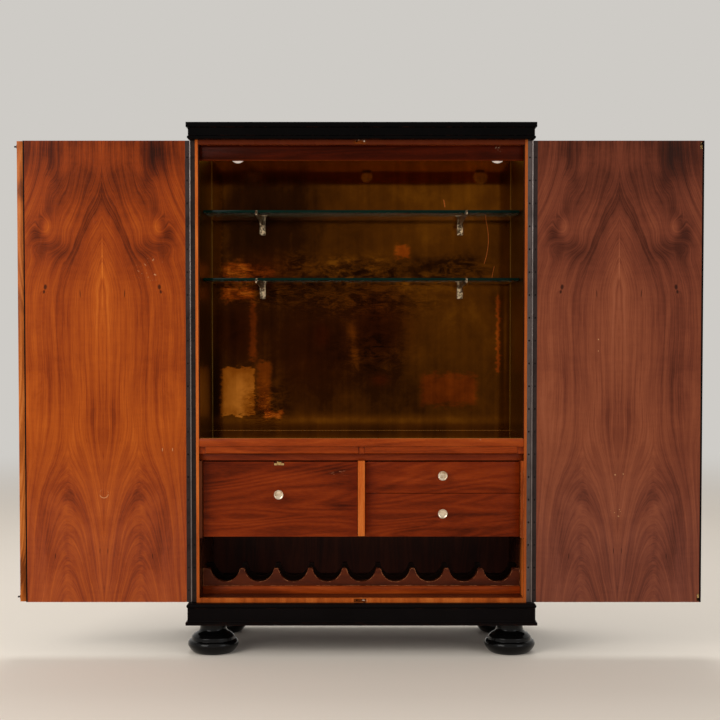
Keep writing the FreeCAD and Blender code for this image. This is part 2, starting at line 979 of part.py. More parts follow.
def hinge_leaf(side, door_half):
    """One leaf of a continuous hinge with every second knuckle; door_half picks which leaf."""
    leaf_y = (face, face + hinge_leaf_thickness)
    relief = hinge_barrel_radius + hinge_knuckle_gap
    direction = 1 if door_half else -1
    edge = hinge_x + direction * relief
    far = leaf_outer if door_half else leaf_inner
    plate = box(side * edge, side * far, leaf_y[0], leaf_y[1], door_bottom, door_top)
    bits = []
    for n, (low, high) in enumerate(knuckle_spans()):
        if (n % 2 == 1) != door_half:
            continue
        barrel = rod(hinge_barrel_radius, high - low, V(side * hinge_x, hinge_y, low), V(0, 0, 1))
        root = hinge_x + direction * hinge_pin_radius
        tab = box(side * edge, side * root, leaf_y[0], leaf_y[1], low, high)
        bits += [barrel, tab]
    leaf = plate.multiFuse(bits)
    foot = V(side * hinge_x, hinge_y, door_bottom)
    bore = rod(hinge_pin_radius + pin_clearance, door_height, foot, V(0, 0, 1))
    return leaf.cut(bore).removeSplitter()


def case_hinge_leaves():
    return compound([hinge_leaf(side, False) for side in (-1, 1)])


def hinge_pins():
    pins = []
    for side in (-1, 1):
        place = V(side * hinge_x, hinge_y, door_bottom + hinge_knuckle_gap)
        pins.append(rod(hinge_pin_radius, door_height - 2 * hinge_knuckle_gap, place, V(0, 0, 1)))
    return compound(pins)


# ---------------------------------------------------------------- doors
left_rebate = hinge_x + left_inner_reach
left_tip = hinge_x + left_lip_reach
left_panel_end = left_rebate - left_strip_width
right_tip = hinge_x + right_reach
right_panel_end = right_tip - right_strip_width
right_shoulder = hinge_x + right_shoulder_reach
door_back = face + door_thickness
lock_levels = (door_bottom + lock_bolt_from_bottom, door_top - lock_bolt_from_top)
lock_y = face + lock_bolt_depth
escutcheon_z = (door_bottom + door_top) / 2
escutcheon_x = -(hinge_x + escutcheon_from_axis)


def door_veneer(side, end):
    return box(side * leaf_outer, side * end, face, face + veneer, door_bottom, door_top)


def door_left_core():
    core = box(-door_edge, -left_panel_end, face + veneer, door_back, door_bottom, door_top)
    return core.cut(keyhole(door_back - keyhole_depth))


def door_left_edge():
    return box(-left_panel_end, -left_rebate, face, face + lip_depth, door_bottom, door_top)


def door_left_lip():
    lip = box(-left_panel_end, -left_tip, face + lip_depth, door_back, door_bottom, door_top)
    for z in lock_levels:
        place = V(-left_tip, lock_y, z)
        lip = lip.cut(rod(lock_bolt_radius + bore_clearance, left_tip - left_panel_end, place, V(1, 0, 0)))
    return lip


def lock_plates():
    """Face plates round the two lock bolts on the door's closing edge."""
    plates = []
    for z in lock_levels:
        plate = box(
            -left_tip - lock_plate_thickness,
            -left_tip,
            lock_y - lock_plate_width / 2,
            lock_y + lock_plate_width / 2,
            z - lock_plate_height / 2,
            z + lock_plate_height / 2,
        )
        place = V(-left_tip, lock_y, z)
        bore = rod(lock_bolt_radius + bore_clearance, lock_plate_thickness, place, V(-1, 0, 0))
        plates.append(plate.cut(bore))
    return compound(plates)


def lock_bolts():
    bolts = []
    for z in lock_levels:
        place = V(-left_tip - lock_bolt_stand_out, lock_y, z)
        bolts.append(rod(lock_bolt_radius, lock_bolt_length, place, V(1, 0, 0)))
    return compound(bolts)


def keyhole(start):
    length = door_back - start + escutcheon_thickness
    round_part = rod(keyhole_radius, length, V(escutcheon_x, start, escutcheon_z), V(0, 1, 0))
    half = keyhole_radius * 0.55
    slot = box(
        escutcheon_x - half,
        escutcheon_x + half,
        start,
        start + length,
        escutcheon_z - keyhole_slot,
        escutcheon_z,
    )
    return round_part.fuse(slot).removeSplitter()


def key_escutcheon():
    half_height = escutcheon_height / 2
    straight = half_height - escutcheon_width / 2
    half_width = escutcheon_width / 2
    y = door_back
    outline = [
        V(escutcheon_x - half_width, y, escutcheon_z - straight),
        (
            V(escutcheon_x, y, escutcheon_z - half_height),
            V(escutcheon_x + half_width, y, escutcheon_z - straight),
        ),
        V(escutcheon_x + half_width, y, escutcheon_z + straight),
        (
            V(escutcheon_x, y, escutcheon_z + half_height),
            V(escutcheon_x - half_width, y, escutcheon_z + straight),
        ),
    ]
    plate = face_of(outline).extrude(V(0, escutcheon_thickness, 0))
    return plate.cut(keyhole(door_back))


flush_x = hinge_x + flush_bolt_from_axis
flush_y = face + flush_bolt_depth


def flush_span(end):
    """Thumb's low and high level for the bolt at the door's top (end=1) or bottom (end=-1)."""
    edge = door_top if end > 0 else door_bottom
    near = edge - end * flush_thumb_from_end
    far = near - end * flush_thumb_height
    return min(near, far), max(near, far)


def flush_bolt(end):
    """Rod with a thumb block that stands just proud of the door's inner face."""
    low, high = flush_span(end)
    edge = door_top if end > 0 else door_bottom
    middle = (low + high) / 2
    shaft = rod(flush_bolt_radius, abs(edge - end - middle), V(flush_x, flush_y, middle), V(0, 0, end))
    thumb = box(
        flush_x - flush_thumb_width / 2,
        flush_x + flush_thumb_width / 2,
        face - flush_thumb_proud,
        flush_y + flush_bolt_radius,
        low,
        high,
    )
    return shaft.fuse(thumb).removeSplitter()


def flush_recess(end):
    low, high = flush_span(end)
    edge = door_top if end > 0 else door_bottom
    half = flush_thumb_width / 2 + flush_slot_clearance
    travel = end * flush_bolt_travel
    slot_low = min(low, low + travel) - flush_slot_clearance
    slot_high = max(high, high + travel) + flush_slot_clearance
    slot = box(
        flush_x - half,
        flush_x + half,
        face,
        flush_y + flush_bolt_radius + flush_slot_clearance,
        slot_low,
        slot_high,
    )
    middle = (low + high) / 2
    place = V(flush_x, flush_y, middle)
    bore = rod(flush_bolt_radius + bore_clearance, abs(edge - middle), place, V(0, 0, end))
    return slot.fuse(bore)


def bolt_socket(level, end):
    """Socket in the cornice soffit or plinth top that the closed door's flush bolt enters."""
    shut_x = 2 * hinge_x - flush_x
    shut_y = 2 * hinge_y - flush_y
    radius = flush_bolt_radius + flush_socket_clearance
    return rod(radius, flush_socket_depth, V(shut_x, shut_y, level), V(0, 0, end))


def door_right_core():
    core = box(door_edge, right_shoulder, face + veneer, door_back, door_bottom, door_top)
    tongue = box(door_edge, right_panel_end, face + veneer, face + tongue_depth, door_bottom, door_top)
    core = core.fuse(tongue).removeSplitter()
    for z in lock_levels:
        place = V(right_shoulder, lock_y, z)
        core = core.cut(rod(lock_bolt_radius + lock_socket_clearance, lock_socket_depth, place, V(-1, 0, 0)))
    return core.cut([flush_recess(end) for end in (-1, 1)])


def door_right_veneer():
    return door_veneer(1, right_panel_end).cut([flush_recess(end) for end in (-1, 1)])


def door_right_edge():
    return box(right_panel_end, right_tip, face, face + tongue_depth, door_bottom, door_top)


def strike_plates():
    """Steel strikes at the middle of the rails: a flat plate with a raised bar."""
    plates = []
    top_low = (ceiling + case_top - strike_height) / 2
    bottom_low = (plinth_top + bottom_board_top - strike_height) / 2
    for low in (top_low, bottom_low):
        plate = box(
            strike_offset - strike_width / 2,
            strike_offset + strike_width / 2,
            face - strike_thickness / 2,
            face,
            low,
            low + strike_height,
        )
        bar = box(
            strike_bar_x - strike_bar_width / 2,
            strike_bar_x + strike_bar_width / 2,
            face - strike_thickness,
            face,
            low - 1,
            low + strike_height,
        )
        plates.append(plate.fuse(bar).removeSplitter())
    return compound(plates)


# ---------------------------------------------------------------- write the parts
os.makedirs("parts", exist_ok=True)

export("side_panel_left", side_panel(-1))
export("side_panel_right", side_panel(1))
export("front_lippings", front_lippings())
export("top_board", top_board())
export("bottom_board", bottom_board())
export("back_panel", back_panel())
export("cable_grommet", cable_grommet())
export("cornice", cornice())
export("cap_board", cap_board())
export("plinth_mouldings", plinth_mouldings())
export("plinth_frame", plinth_frame())
export("bun_feet", bun_feet())
export("lining_boards", lining_boards())
export("brass_sheets", brass_sheets())
export("bar_floor_board", bar_floor_board())
export("pelmet", pelmet())
export("lamp_holders", lamp_holders())
export("lamp_bulbs", lamp_bulbs())
export("glass_shelves", glass_shelves())
export("shelf_brackets", shelf_brackets())
export("back_battens", back_battens())
export("slide_bed", slide_bed())
export("slide_guides", slide_guides())
export("slide_left", slide(-1))
export("slide_right", slide(1))
export("liners", liners())
export("centre_divider", centre_divider())
export("partition_board", partition_board())
export("flap_pins", flap_pins())
export("flap_panel", flap_panel())
export("flap_bolt", flap_bolt())
export("flap_knob", knob(flap_middle, front_top - flap_knob_drop))
export("drawer_runners", drawer_runners())
for level in drawer_levels:
    export("drawer_" + level + "_front", drawer_front(level))
    export("drawer_" + level + "_box", drawer_box(level))
    export("drawer_" + level + "_knob", drawer_knob(level))
export("rack_base", rack_base())
export("rack_rails", rack_rails())
export("case_hinge_leaves", case_hinge_leaves())
export("hinge_pins", hinge_pins())
export("strike_plates", strike_plates())
export("door_left_core", door_left_core())
export("door_left_veneer", door_veneer(-1, left_panel_end))
export("door_left_edge", door_left_edge())
export("door_left_lip", door_left_lip())
export("door_left_hinge_leaf", hinge_leaf(-1, True))
export("lock_plates", lock_plates())
export("lock_bolts", lock_bolts())
export("key_escutcheon", key_escutcheon())
export("door_right_core", door_right_core())
export("door_right_veneer", door_right_veneer())
export("door_right_edge", door_right_edge())
export("door_right_hinge_leaf", hinge_leaf(1, True))
export("flush_bolt_upper", flush_bolt(1))
export("flush_bolt_lower", flush_bolt(-1))
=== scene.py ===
import json
import math

import bmesh
import bpy
from mathutils import Matrix, Vector


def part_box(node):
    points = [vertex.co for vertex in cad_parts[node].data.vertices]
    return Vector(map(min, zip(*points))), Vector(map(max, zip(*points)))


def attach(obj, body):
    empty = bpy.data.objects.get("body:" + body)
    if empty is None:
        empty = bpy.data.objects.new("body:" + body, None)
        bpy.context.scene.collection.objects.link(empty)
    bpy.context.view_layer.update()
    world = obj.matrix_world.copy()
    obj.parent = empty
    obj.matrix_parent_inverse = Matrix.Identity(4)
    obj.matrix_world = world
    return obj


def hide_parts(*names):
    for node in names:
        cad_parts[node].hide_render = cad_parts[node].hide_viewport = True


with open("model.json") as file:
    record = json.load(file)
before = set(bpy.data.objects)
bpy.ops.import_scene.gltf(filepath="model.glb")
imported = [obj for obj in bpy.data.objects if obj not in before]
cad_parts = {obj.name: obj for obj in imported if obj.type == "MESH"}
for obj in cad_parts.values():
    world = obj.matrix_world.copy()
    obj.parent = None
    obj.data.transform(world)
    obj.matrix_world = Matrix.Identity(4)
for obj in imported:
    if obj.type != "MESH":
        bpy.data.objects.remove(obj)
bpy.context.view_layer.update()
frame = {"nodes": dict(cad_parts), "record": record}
cadNodes = frame["nodes"]
print("bar cabinet: frame loaded,", len(cadNodes), "solid parts")


# small tools for node materials

def shade(red, green, blue):
    # a paint-chart colour, 0 to 255, as the shader wants it
    def straight(value):
        value = value / 255
        return value / 12.92 if value <= 0.04045 else ((value + 0.055) / 1.055) ** 2.4
    return (straight(red), straight(green), straight(blue), 1.0)


def dabs(depth, *rows, thick=1.0):
    # rows of x, z, width, height and the rest, as a centre, a size and the rest
    return [((x, depth, z), (wide, thick, tall), *rest) for x, z, wide, tall, *rest in rows]


class Graph:
    # a node tree, built a node at a time
    def __init__(self, tree):
        self.tree = tree

    def add(self, kind, inputs=None, **settings):
        made = self.tree.nodes.new("ShaderNode" + kind)
        for key, value in settings.items():
            setattr(made, key, value)
        for key, value in (inputs or {}).items():
            if isinstance(value, bpy.types.NodeSocket):
                self.tree.links.new(value, made.inputs[key])
            else:
                made.inputs[key].default_value = value
        return made

    def math(self, operation, first, second=0.0, third=0.0):
        return self.add("Math", {0: first, 1: second, 2: third}, operation=operation).outputs[0]


class Recipe(Graph):
    # one material; a colour in it is a socket or a paint-chart triple
    def __init__(self, name, **shaderValues):
        self.material = bpy.data.materials.new(name)
        self.material.use_nodes = True
        super().__init__(self.material.node_tree)
        self.shader = self.tree.nodes["Principled BSDF"]
        for key, value in shaderValues.items():
            self.shader.inputs[key.replace("_", " ")].default_value = value
        self.place = self.add("TexCoord").outputs["Object"]
        self.x, self.y, self.z = self.add("SeparateXYZ", {0: self.place}).outputs

    def times(self, first, second):
        return self.math("MULTIPLY", first, second)

    def plus(self, *terms):
        # adds numbers, sockets and (socket, amount) pairs
        total, *others = [self.times(*term) if isinstance(term, tuple) else term for term in terms]
        for term in others:
            total = self.math("ADD", total, term)
        return total

    def vector(self, x, y, z):
        return self.add("CombineXYZ", {0: x, 1: y, 2: z}).outputs[0]

    def vectors(self, operation, first, second=(0.0, 0.0, 0.0)):
        made = self.add("VectorMath", {0: first, 1: second}, operation=operation)
        return made.outputs["Value" if operation in ("DOT_PRODUCT", "LENGTH") else "Vector"]

    def stretch(self, vector, scale):
        return self.vectors("MULTIPLY", vector, scale)

    def distance(self, vector, centre):
        return self.vectors("LENGTH", self.vectors("SUBTRACT", vector, centre))

    def noise(self, vector, scale, detail, rough, warp=0.0):
        inputs = {"Vector": vector, "Scale": scale, "Detail": detail, "Roughness": rough, "Distortion": warp}
        return self.add("TexNoise", inputs).outputs[0]

    def grained(self, vector, scale, *field):
        return self.noise(self.stretch(vector, scale), *field)

    def between(self, value, low, high, atLow=0.0, atHigh=1.0):
        inputs = {0: value, 1: low, 2: high, 3: atLow, 4: atHigh}
        return self.add("MapRange", inputs, interpolation_type="SMOOTHSTEP").outputs[0]

    def falls(self, value, low, high):
        return self.between(value, low, high, 1.0, 0.0)

    def window(self, value, low, high, soft):
        # 1 from low to high, with soft sides
        return self.times(self.between(value, low - soft, low + soft), self.falls(value, high - soft, high + soft))

    def nudged(self, vector, wobble, amount):
        # the place nudged about by a noise value
        nudge = self.times(self.plus(wobble, -0.5), amount)
        return self.vectors("ADD", vector, self.vector(nudge, 0.0, nudge))

    def spot(self, vector, centre, size):
        # a soft spot: 1 at the centre, about a third at one size away
        away = self.stretch(self.vectors("SUBTRACT", vector, centre), [1 / s for s in size])
        return self.math("EXPONENT", self.times(self.vectors("DOT_PRODUCT", away, away), -1.0))

    def dabbed(self, value, vector, spots):
        for centre, size, amount in spots:
            value = self.plus(value, (self.spot(vector, centre, size), amount))
        return value

    def mix(self, amount, first, second):
        first, second = [shade(*colour) if isinstance(colour, tuple) else colour for colour in (first, second)]
        inputs = {0: amount, 6: first, 7: second}
        return self.add("Mix", inputs, data_type="RGBA", blend_type="MIX").outputs[2]

    # lays a colour over another through a mask: for stains, pores and wear, and for painted shade and painted light
    def stainedOrLit(self, colour, mask, amount, stainOrLight):
        return self.mix(self.times(mask, amount), colour, stainOrLight)

    def ramp(self, value, stops):
        made = self.add("ValToRGB", {0: value})
        elements = made.color_ramp.elements
        while len(elements) < len(stops):
            elements.new(0.5)
        for element, (position, colour) in zip(elements, stops):
            element.position = position
            element.color = shade(*colour)
        return made.outputs[0]

    def edges(self, radius):
        # 1 on the corners of the piece, 0 on its flats
        rounded = self.add("Bevel", {0: radius}, samples=4).outputs[0]
        flat = self.add("NewGeometry").outputs["Normal"]
        return self.between(self.math("SUBTRACT", 1.0, self.vectors("DOT_PRODUCT", rounded, flat)), 0.02, 0.25)

    def bump(self, height, distance, strength, under=None):
        inputs = {"Strength": strength, "Distance": distance, "Height": height}
        if under:
            inputs["Normal"] = under
        return self.add("Bump", inputs).outputs[0]

    def feed(self, **sockets):
        for key, value in sockets.items():
            self.tree.links.new(value, self.shader.inputs[key.replace("_", " ")])
        return self.material


# woods

def plank(name, grain, tones, look):
    # straight-grained polished wood: grain runs along one axis, with slow figure, fibres, pores and rubbed corners
    wood = Recipe(name, Coat_Weight=look.get("coat", 0.012), Coat_Roughness=0.18,
        Specular_IOR_Level=look.get("gloss", 0.08))
    along = {"x": (1.0, 9.0, 9.0), "y": (9.0, 1.0, 9.0), "z": (9.0, 9.0, 1.0)}[grain]
    slow = wood.grained(wood.place, along, look.get("figure", 2.2), 4.0, 0.55, look.get("swirl", 0.6))
    turned = wood.add("Mapping", {0: wood.place, 1: (0.37, 1.1, 0.6),
        2: look.get("lean", (0.0, 0.0, 0.0))}).outputs[0]
    field = wood.grained(turned, along, look.get("ringScale", 1.1), 2.0, 0.5, 0.3)
    rings = wood.math("SINE", wood.times(field, look.get("rings", 90.0)))
    fibre = wood.grained(wood.place, [18 * a for a in along], 3.0, 3.0, 0.6)
    pores = wood.grained(wood.place, [a * 60 if a > 1 else 26 for a in along], 4.0, 2.0, 0.5)
    tone = wood.plus((slow, 0.9), (rings, look.get("ringTone", 0.06)), (fibre, 0.35), -0.17)
    tone = wood.dabbed(tone, wood.place, look.get("patches", []))
    dark, middle, light = tones
    colour = wood.ramp(tone, [(0.16, dark), (0.45, middle), (0.78, light)])
    pit = wood.between(pores, 0.6, 0.72)
    colour = wood.stainedOrLit(colour, pit, 0.45, dark)
    rubbing = wood.between(wood.noise(wood.place, 55.0, 3.0, 0.7), 0.42, 0.62)
    worn = wood.times(wood.edges(look.get("rim", 0.0016)), rubbing)
    colour = wood.stainedOrLit(colour, worn, look.get("wear", 0.5), look.get("wornTone", light))
    # painted light: bands of painted shade, and one of painted highlight, laid over the wood along one axis
    for axis, low, high, stainOrLight, amount in look.get("paintedLightBands", []):
        measure = {"x": wood.x, "y": wood.y, "z": wood.z}[axis]
        colour = wood.stainedOrLit(colour, wood.between(measure, low, high), amount, stainOrLight)
    # painted shade: the top rail between the uprights is darkened under the cornice's overhang
    if "topRailShade" in look:
        halfWidth, underside, stainOrLight = look["topRailShade"]
        inside = wood.between(wood.math("ABSOLUTE", wood.x), halfWidth - 0.0004, halfWidth, 0.95, 0.0)
        colour = wood.stainedOrLit(colour, inside, wood.between(wood.z, underside - 0.002, underside), stainOrLight)
    if "chips" in look:
        flakes = wood.grained(wood.place, look.get("chipShape", (1.0, 1.0, 1.0)), 210.0, 2.0, 0.7)
        flakes = wood.times(wood.between(flakes, 0.6, 0.66), 0.8)
        chipped = 0.0
        for centre, size in look["chips"]:
            chipped = wood.plus(chipped, wood.spot(wood.place, centre, size))
        chipTone = look.get("chipTone", (214, 182, 150))
        colour = wood.stainedOrLit(colour, flakes, wood.between(chipped, 0.2, 0.6), chipTone)
    rough = wood.plus((slow, 0.12), (pit, 0.18), (worn, 0.15), look.get("rough", 0.28) - 0.06)
    height = wood.plus((fibre, 0.35), (pit, -0.8))
    lamplight = {}
    # painted light: an emission that makes the piece glow, though it is no lamp
    if "glow" in look:
        light, strength, behind = look["glow"]
        wood.shader.inputs["Emission Color"].default_value = shade(*light)
        lamplight["Emission_Strength"] = wood.between(wood.y, behind, behind + 0.002, 0.0, strength)
    return wood.feed(Base_Color=colour, Roughness=rough, Normal=wood.bump(height, 0.0004, 0.35), **lamplight)


def lacquer(name, axis, look):
    # ebonised wood: black polish with faint grain telegraphing through, brush drag, dust and rubbed brown corners
    coat = Recipe(name, Specular_IOR_Level=look.get("gloss", 0.05), Coat_Weight=look.get("coat", 0.0),
        Coat_Roughness=0.12)
    drag = {"x": (1.0, 60.0, 60.0), "z": (60.0, 60.0, 1.0)}[axis]
    grain = coat.grained(coat.place, drag, 2.4, 4.0, 0.6)
    cloud = coat.noise(coat.place, 5.0, 4.0, 0.6)
    rubbed = coat.times(coat.edges(0.0022), coat.between(coat.noise(coat.place, 38.0, 4.0, 0.75), 0.47, 0.66))
    for low, high, amount in look.get("wornBands", []):
        band = coat.window(coat.z, low - 0.0003, high + 0.0003, 0.0003)
        streaks = coat.grained(coat.place, (9.0, 9.0, 260.0), 4.0, 4.0, 0.75)
        rubbed = coat.math("MAXIMUM", rubbed, coat.times(coat.times(band, coat.between(streaks, 0.5, 0.66)), amount))
    colour = coat.mix(cloud, look.get("darkest", (5, 4, 4)), look.get("lightest", (14, 11, 11)))
    if "bareInside" in look:
        halfWidth, stainOrLight = look["bareInside"]
        within = coat.falls(coat.math("ABSOLUTE", coat.x), halfWidth, halfWidth + 0.0005)
        within = coat.times(within, coat.falls(coat.z, 0.1, 0.62))
        colour = coat.mix(within, colour, coat.mix(grain, stainOrLight, (30, 13, 6)))
        # painted light: a warm pool of light on the right side's inner face, towards the front
        paintedLightPool = coat.times(coat.between(coat.x, 0.0, 0.1), coat.between(coat.y, -0.17, -0.07, 0.95, 0.0))
        colour = coat.stainedOrLit(colour, within, paintedLightPool, (255, 132, 52))
    colour = coat.stainedOrLit(colour, rubbed, look.get("wear", 0.45), look.get("under", (92, 44, 22)))
    rough = coat.plus((cloud, 0.16), (grain, 0.08), (rubbed, 0.25), look.get("rough", 0.22) - 0.1)
    height = coat.plus((grain, 0.5), (rubbed, -0.6))
    return coat.feed(Base_Color=colour, Roughness=rough, Normal=coat.bump(height, 0.0003, 0.3))


def matchedVeneer(name, look):
    # a flame of walnut, opened like a book about the middle of the door
    leaf = Recipe(name, Coat_Weight=0.015, Coat_Roughness=0.2, Specular_IOR_Level=0.08)
    fromMiddle = leaf.math("ABSOLUTE", leaf.math("SUBTRACT", leaf.x, look["middle"]))
    flat = leaf.vector(fromMiddle, 0.0, leaf.z)
    sway = leaf.grained(flat, (7.0, 1.0, 1.7), 1.0, 2.0, 0.5)
    ripple = leaf.grained(flat, (40.0, 1.0, 7.0), 1.0, 3.0, 0.55)
    across = leaf.plus(fromMiddle, (sway, 0.045), (ripple, 0.011), -0.028)
    # the grain's own coordinate: it leans outwards under the flame's point, and closes to arches low on the door
    rise = leaf.between(leaf.z, look["flameFoot"], look["flameTop"], 0.0, look["flameLean"])
    upright = leaf.plus(across, rise)
    aside = leaf.plus(across, -look["archFrom"])
    bend = leaf.plus(upright, -look["archFrom"])
    straight = leaf.plus(leaf.math("ABSOLUTE", bend), look["archFrom"])
    arches = leaf.plus((leaf.times(aside, aside), 10.5), (leaf.z, 0.26), look["archFrom"] - 0.151)
    grain = leaf.between(leaf.z, 0.45, 0.72, arches, straight)
    sheetSide = leaf.between(bend, -0.035, 0.035, 1.6, 0.0)
    grain = leaf.dabbed(grain, flat, look["eyes"])
    along = leaf.vector(grain, sheetSide, leaf.z)
    broad = leaf.grained(along, (62.0, 1.0, 1.1), 1.0, 3.0, 0.55)
    lines = leaf.grained(along, (310.0, 1.0, 3.6), 1.0, 3.0, 0.6)
    fibre = leaf.grained(along, (900.0, 1.0, 14.0), 1.0, 2.0, 0.6)
    cloud = leaf.grained(flat, (9.0, 1.0, 4.0), 1.0, 4.0, 0.6, 0.8)
    curl = leaf.grained(flat, (16.0, 1.0, 90.0), 1.0, 2.0, 0.5, 0.6)
    tone = leaf.plus(look["level"] - 0.81, (broad, 0.44), (lines, 0.4), (fibre, 0.28), (cloud, 0.42), (curl, 0.08))
    tone = leaf.dabbed(tone, flat, look["patches"])
    tone = leaf.dabbed(tone, leaf.place, look["ownPatches"])
    # the brown legs of the flame, spreading downwards from one point
    leg = leaf.spot(leaf.vector(upright, 0.0, leaf.z), (look["legAt"], 0.0, 1.235), (0.017, 1.0, 0.105))
    tone = leaf.plus(tone, (leg, -0.15))
    # the pale seam where the two leaves of veneer meet
    seam = leaf.falls(fromMiddle, 0.0006, 0.0022)
    pale = leaf.plus((leaf.spot(flat, (0.0, 0.0, 1.12), (1.0, 1.0, 0.1)), 0.3), -0.05)
    tone = leaf.plus(tone, (seam, pale))
    colour = leaf.ramp(tone, list(zip((0.0, 0.22, 0.42, 0.62, 0.86), look["tones"])))
    pores = leaf.between(leaf.grained(leaf.place, (900.0, 900.0, 60.0), 1.0, 2.0, 0.5), 0.63, 0.74)
    colour = leaf.stainedOrLit(colour, pores, 0.3, look["tones"][0])
    # a pale haze low on the door: a painted sheen
    bloomAndSheen = leaf.times(leaf.falls(leaf.z, 0.28, 0.66), leaf.times(cloud, 0.07))
    colour = leaf.mix(bloomAndSheen, colour, (180, 140, 140))
    # knots, nicks and rubs
    for centre, size in look["knots"]:
        knot = leaf.between(leaf.spot(leaf.nudged(flat, ripple, 0.01), centre, size), 0.2, 0.8)
        colour = leaf.stainedOrLit(colour, knot, 0.8, (26, 9, 5))
    rubs = None
    face = leaf.vector(leaf.x, 0.0, leaf.z)
    for kind, x, z, wide, tall in look["rubs"]:
        centre, size = (x, 0.0, z), (wide, 1.0, tall)
        if kind == "ring":
            offLine = leaf.math("ABSOLUTE", leaf.plus(leaf.distance(face, centre), -wide))
            mark = leaf.falls(offLine, 0.0004, tall)
            mark = leaf.times(mark, leaf.between(leaf.noise(leaf.place, 60.0, 2.0, 0.6), 0.44, 0.54))
            mark = leaf.times(mark, leaf.between(leaf.z, z - 0.001, z + 0.006, 1.0, 0.25))
        else:
            mark = leaf.between(leaf.spot(face, centre, size), 0.45, 0.6)
            if kind == "scatter":
                specks = leaf.between(leaf.noise(leaf.place, 150.0, 1.0, 0.5), 0.69, 0.73)
                mark = leaf.times(leaf.between(leaf.spot(face, centre, size), 0.1, 0.6), specks)
        rubs = mark if rubs is None else leaf.math("MAXIMUM", rubs, mark)
    colour = leaf.stainedOrLit(colour, rubs, 0.5, (222, 170, 120))
    rough = leaf.plus(look["rough"], (cloud, 0.14), (rubs, 0.3), -0.05)
    height = leaf.plus((fibre, 0.3), (pores, -0.8), (curl, 0.3))
    return leaf.feed(Base_Color=colour, Roughness=rough, Normal=leaf.bump(height, 0.0003, 0.3))


doorFigure = {
    "flameFoot": 1.02, "flameTop": 1.42, "flameLean": 0.13, "legAt": 0.118, "archFrom": 0.102,
    "eyes": dabs(0.0,
        (0.158, 1.222, 0.026, 0.036, 0.05), (0.185, 1.165, 0.026, 0.024, -0.03), (0.163, 1.05, 0.01, 0.014, 0.012),
        (0.115, 1.175, 0.03, 0.03, 0.022), (0.15, 1.33, 0.02, 0.05, -0.016),
    ),
    "patches": dabs(0.0,
        (0.118, 1.15, 0.06, 0.045, -0.13), (0.16, 1.165, 0.05, 0.032, -0.1), (0.187, 1.212, 0.022, 0.028, -0.18),
        (0.172, 1.25, 0.02, 0.022, -0.12), (0.15, 1.285, 0.022, 0.04, -0.12), (0.122, 1.345, 0.024, 0.06, -0.08),
        (0.142, 1.42, 0.018, 0.045, -0.14), (0.17, 1.44, 0.04, 0.06, -0.07), (0.04, 1.35, 0.028, 0.06, -0.07),
        (0.158, 1.224, 0.012, 0.022, 0.16), (0.088, 1.27, 0.035, 0.05, 0.07), (0.02, 1.08, 0.03, 0.14, 0.1),
        (0.018, 0.86, 0.03, 0.15, 0.08), (0.033, 0.69, 0.012, 0.04, -0.06), (0.105, 0.462, 0.016, 0.03, -0.08),
        (0.15, 0.3, 0.06, 0.12, -0.08), (0.2, 0.7, 0.03, 0.3, 0.05), (0.11, 0.62, 0.035, 0.06, 0.06),
    ),
    "knots": dabs(0.0,
        (0.162, 1.054, 0.0065, 0.0085), (0.166, 1.04, 0.0045, 0.006), (0.012, 0.3, 0.0012, 0.01),
        (0.064, 1.036, 0.0014, 0.012), (0.14, 0.285, 0.0014, 0.009),
    ),
}
walnutTonesLeft = [(44, 14, 3), (88, 30, 5), (140, 55, 12), (172, 78, 18), (204, 108, 34)]
# the right door's walnut is the same wood painted darker and greyer: painted shade, with a painted sheen over it
walnutTonesRightShadedHazed = [(44, 20, 13), (72, 31, 18), (110, 53, 34), (136, 71, 45), (158, 90, 60)]
leftDoorLook = dict(doorFigure, middle=-0.738, rough=0.26, level=0.48, tones=walnutTonesLeft, rubs=[
    ("ring", -0.737, 0.464, 0.0125, 0.0018), ("tick", -0.569, 0.59, 0.0013, 0.0065),
    ("tick", -0.54, 0.59, 0.0013, 0.006), ("scatter", -0.6, 1.105, 0.035, 0.03),
], ownPatches=dabs(-0.19,
    (-0.575, 1.43, 0.04, 0.06, -0.22), (-0.96, 1.43, 0.05, 0.06, -0.1), (-0.95, 0.9, 0.04, 0.35, 0.05),
    (-0.62, 0.3, 0.11, 0.12, -0.06), (-0.74, 1.47, 0.22, 0.035, -0.1), (-0.74, 1.38, 0.4, 0.11, -0.13),
    (-0.74, 0.36, 0.4, 0.2, 0.06),
))
rightDoorLook = dict(doorFigure, middle=0.734, rough=0.3, level=0.46, tones=walnutTonesRightShadedHazed, rubs=[
    ("tick", 0.726, 0.518, 0.0028, 0.0026), ("tick", 0.749, 0.52, 0.0016, 0.003),
    ("scatter", 0.731, 0.41, 0.016, 0.016), ("tick", 0.676, 0.905, 0.0022, 0.0026),
    ("tick", 0.676, 0.872, 0.0016, 0.002),
], ownPatches=dabs(-0.19,
    (0.9, 1.42, 0.06, 0.08, -0.22), (0.74, 1.47, 0.22, 0.04, -0.12), (0.74, 1.38, 0.4, 0.1, -0.09),
    (0.74, 0.85, 0.4, 0.2, 0.05), (0.74, 0.4, 0.4, 0.2, 0.1), (0.905, 0.75, 0.04, 0.45, -0.12),
    (0.53, 0.75, 0.04, 0.4, 0.08), (0.78, 0.25, 0.2, 0.12, -0.05),
))

frontTones = ((66, 18, 3), (116, 38, 7), (150, 58, 14))
boardTones = ((96, 32, 5), (142, 54, 11), (176, 78, 24))
lippingTones = ((130, 56, 16), (186, 88, 28), (218, 122, 52))
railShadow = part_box("rack_base")[0].y
caseHalf = 0.4655
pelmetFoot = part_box("pelmet")[0].z
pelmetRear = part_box("pelmet")[1].y

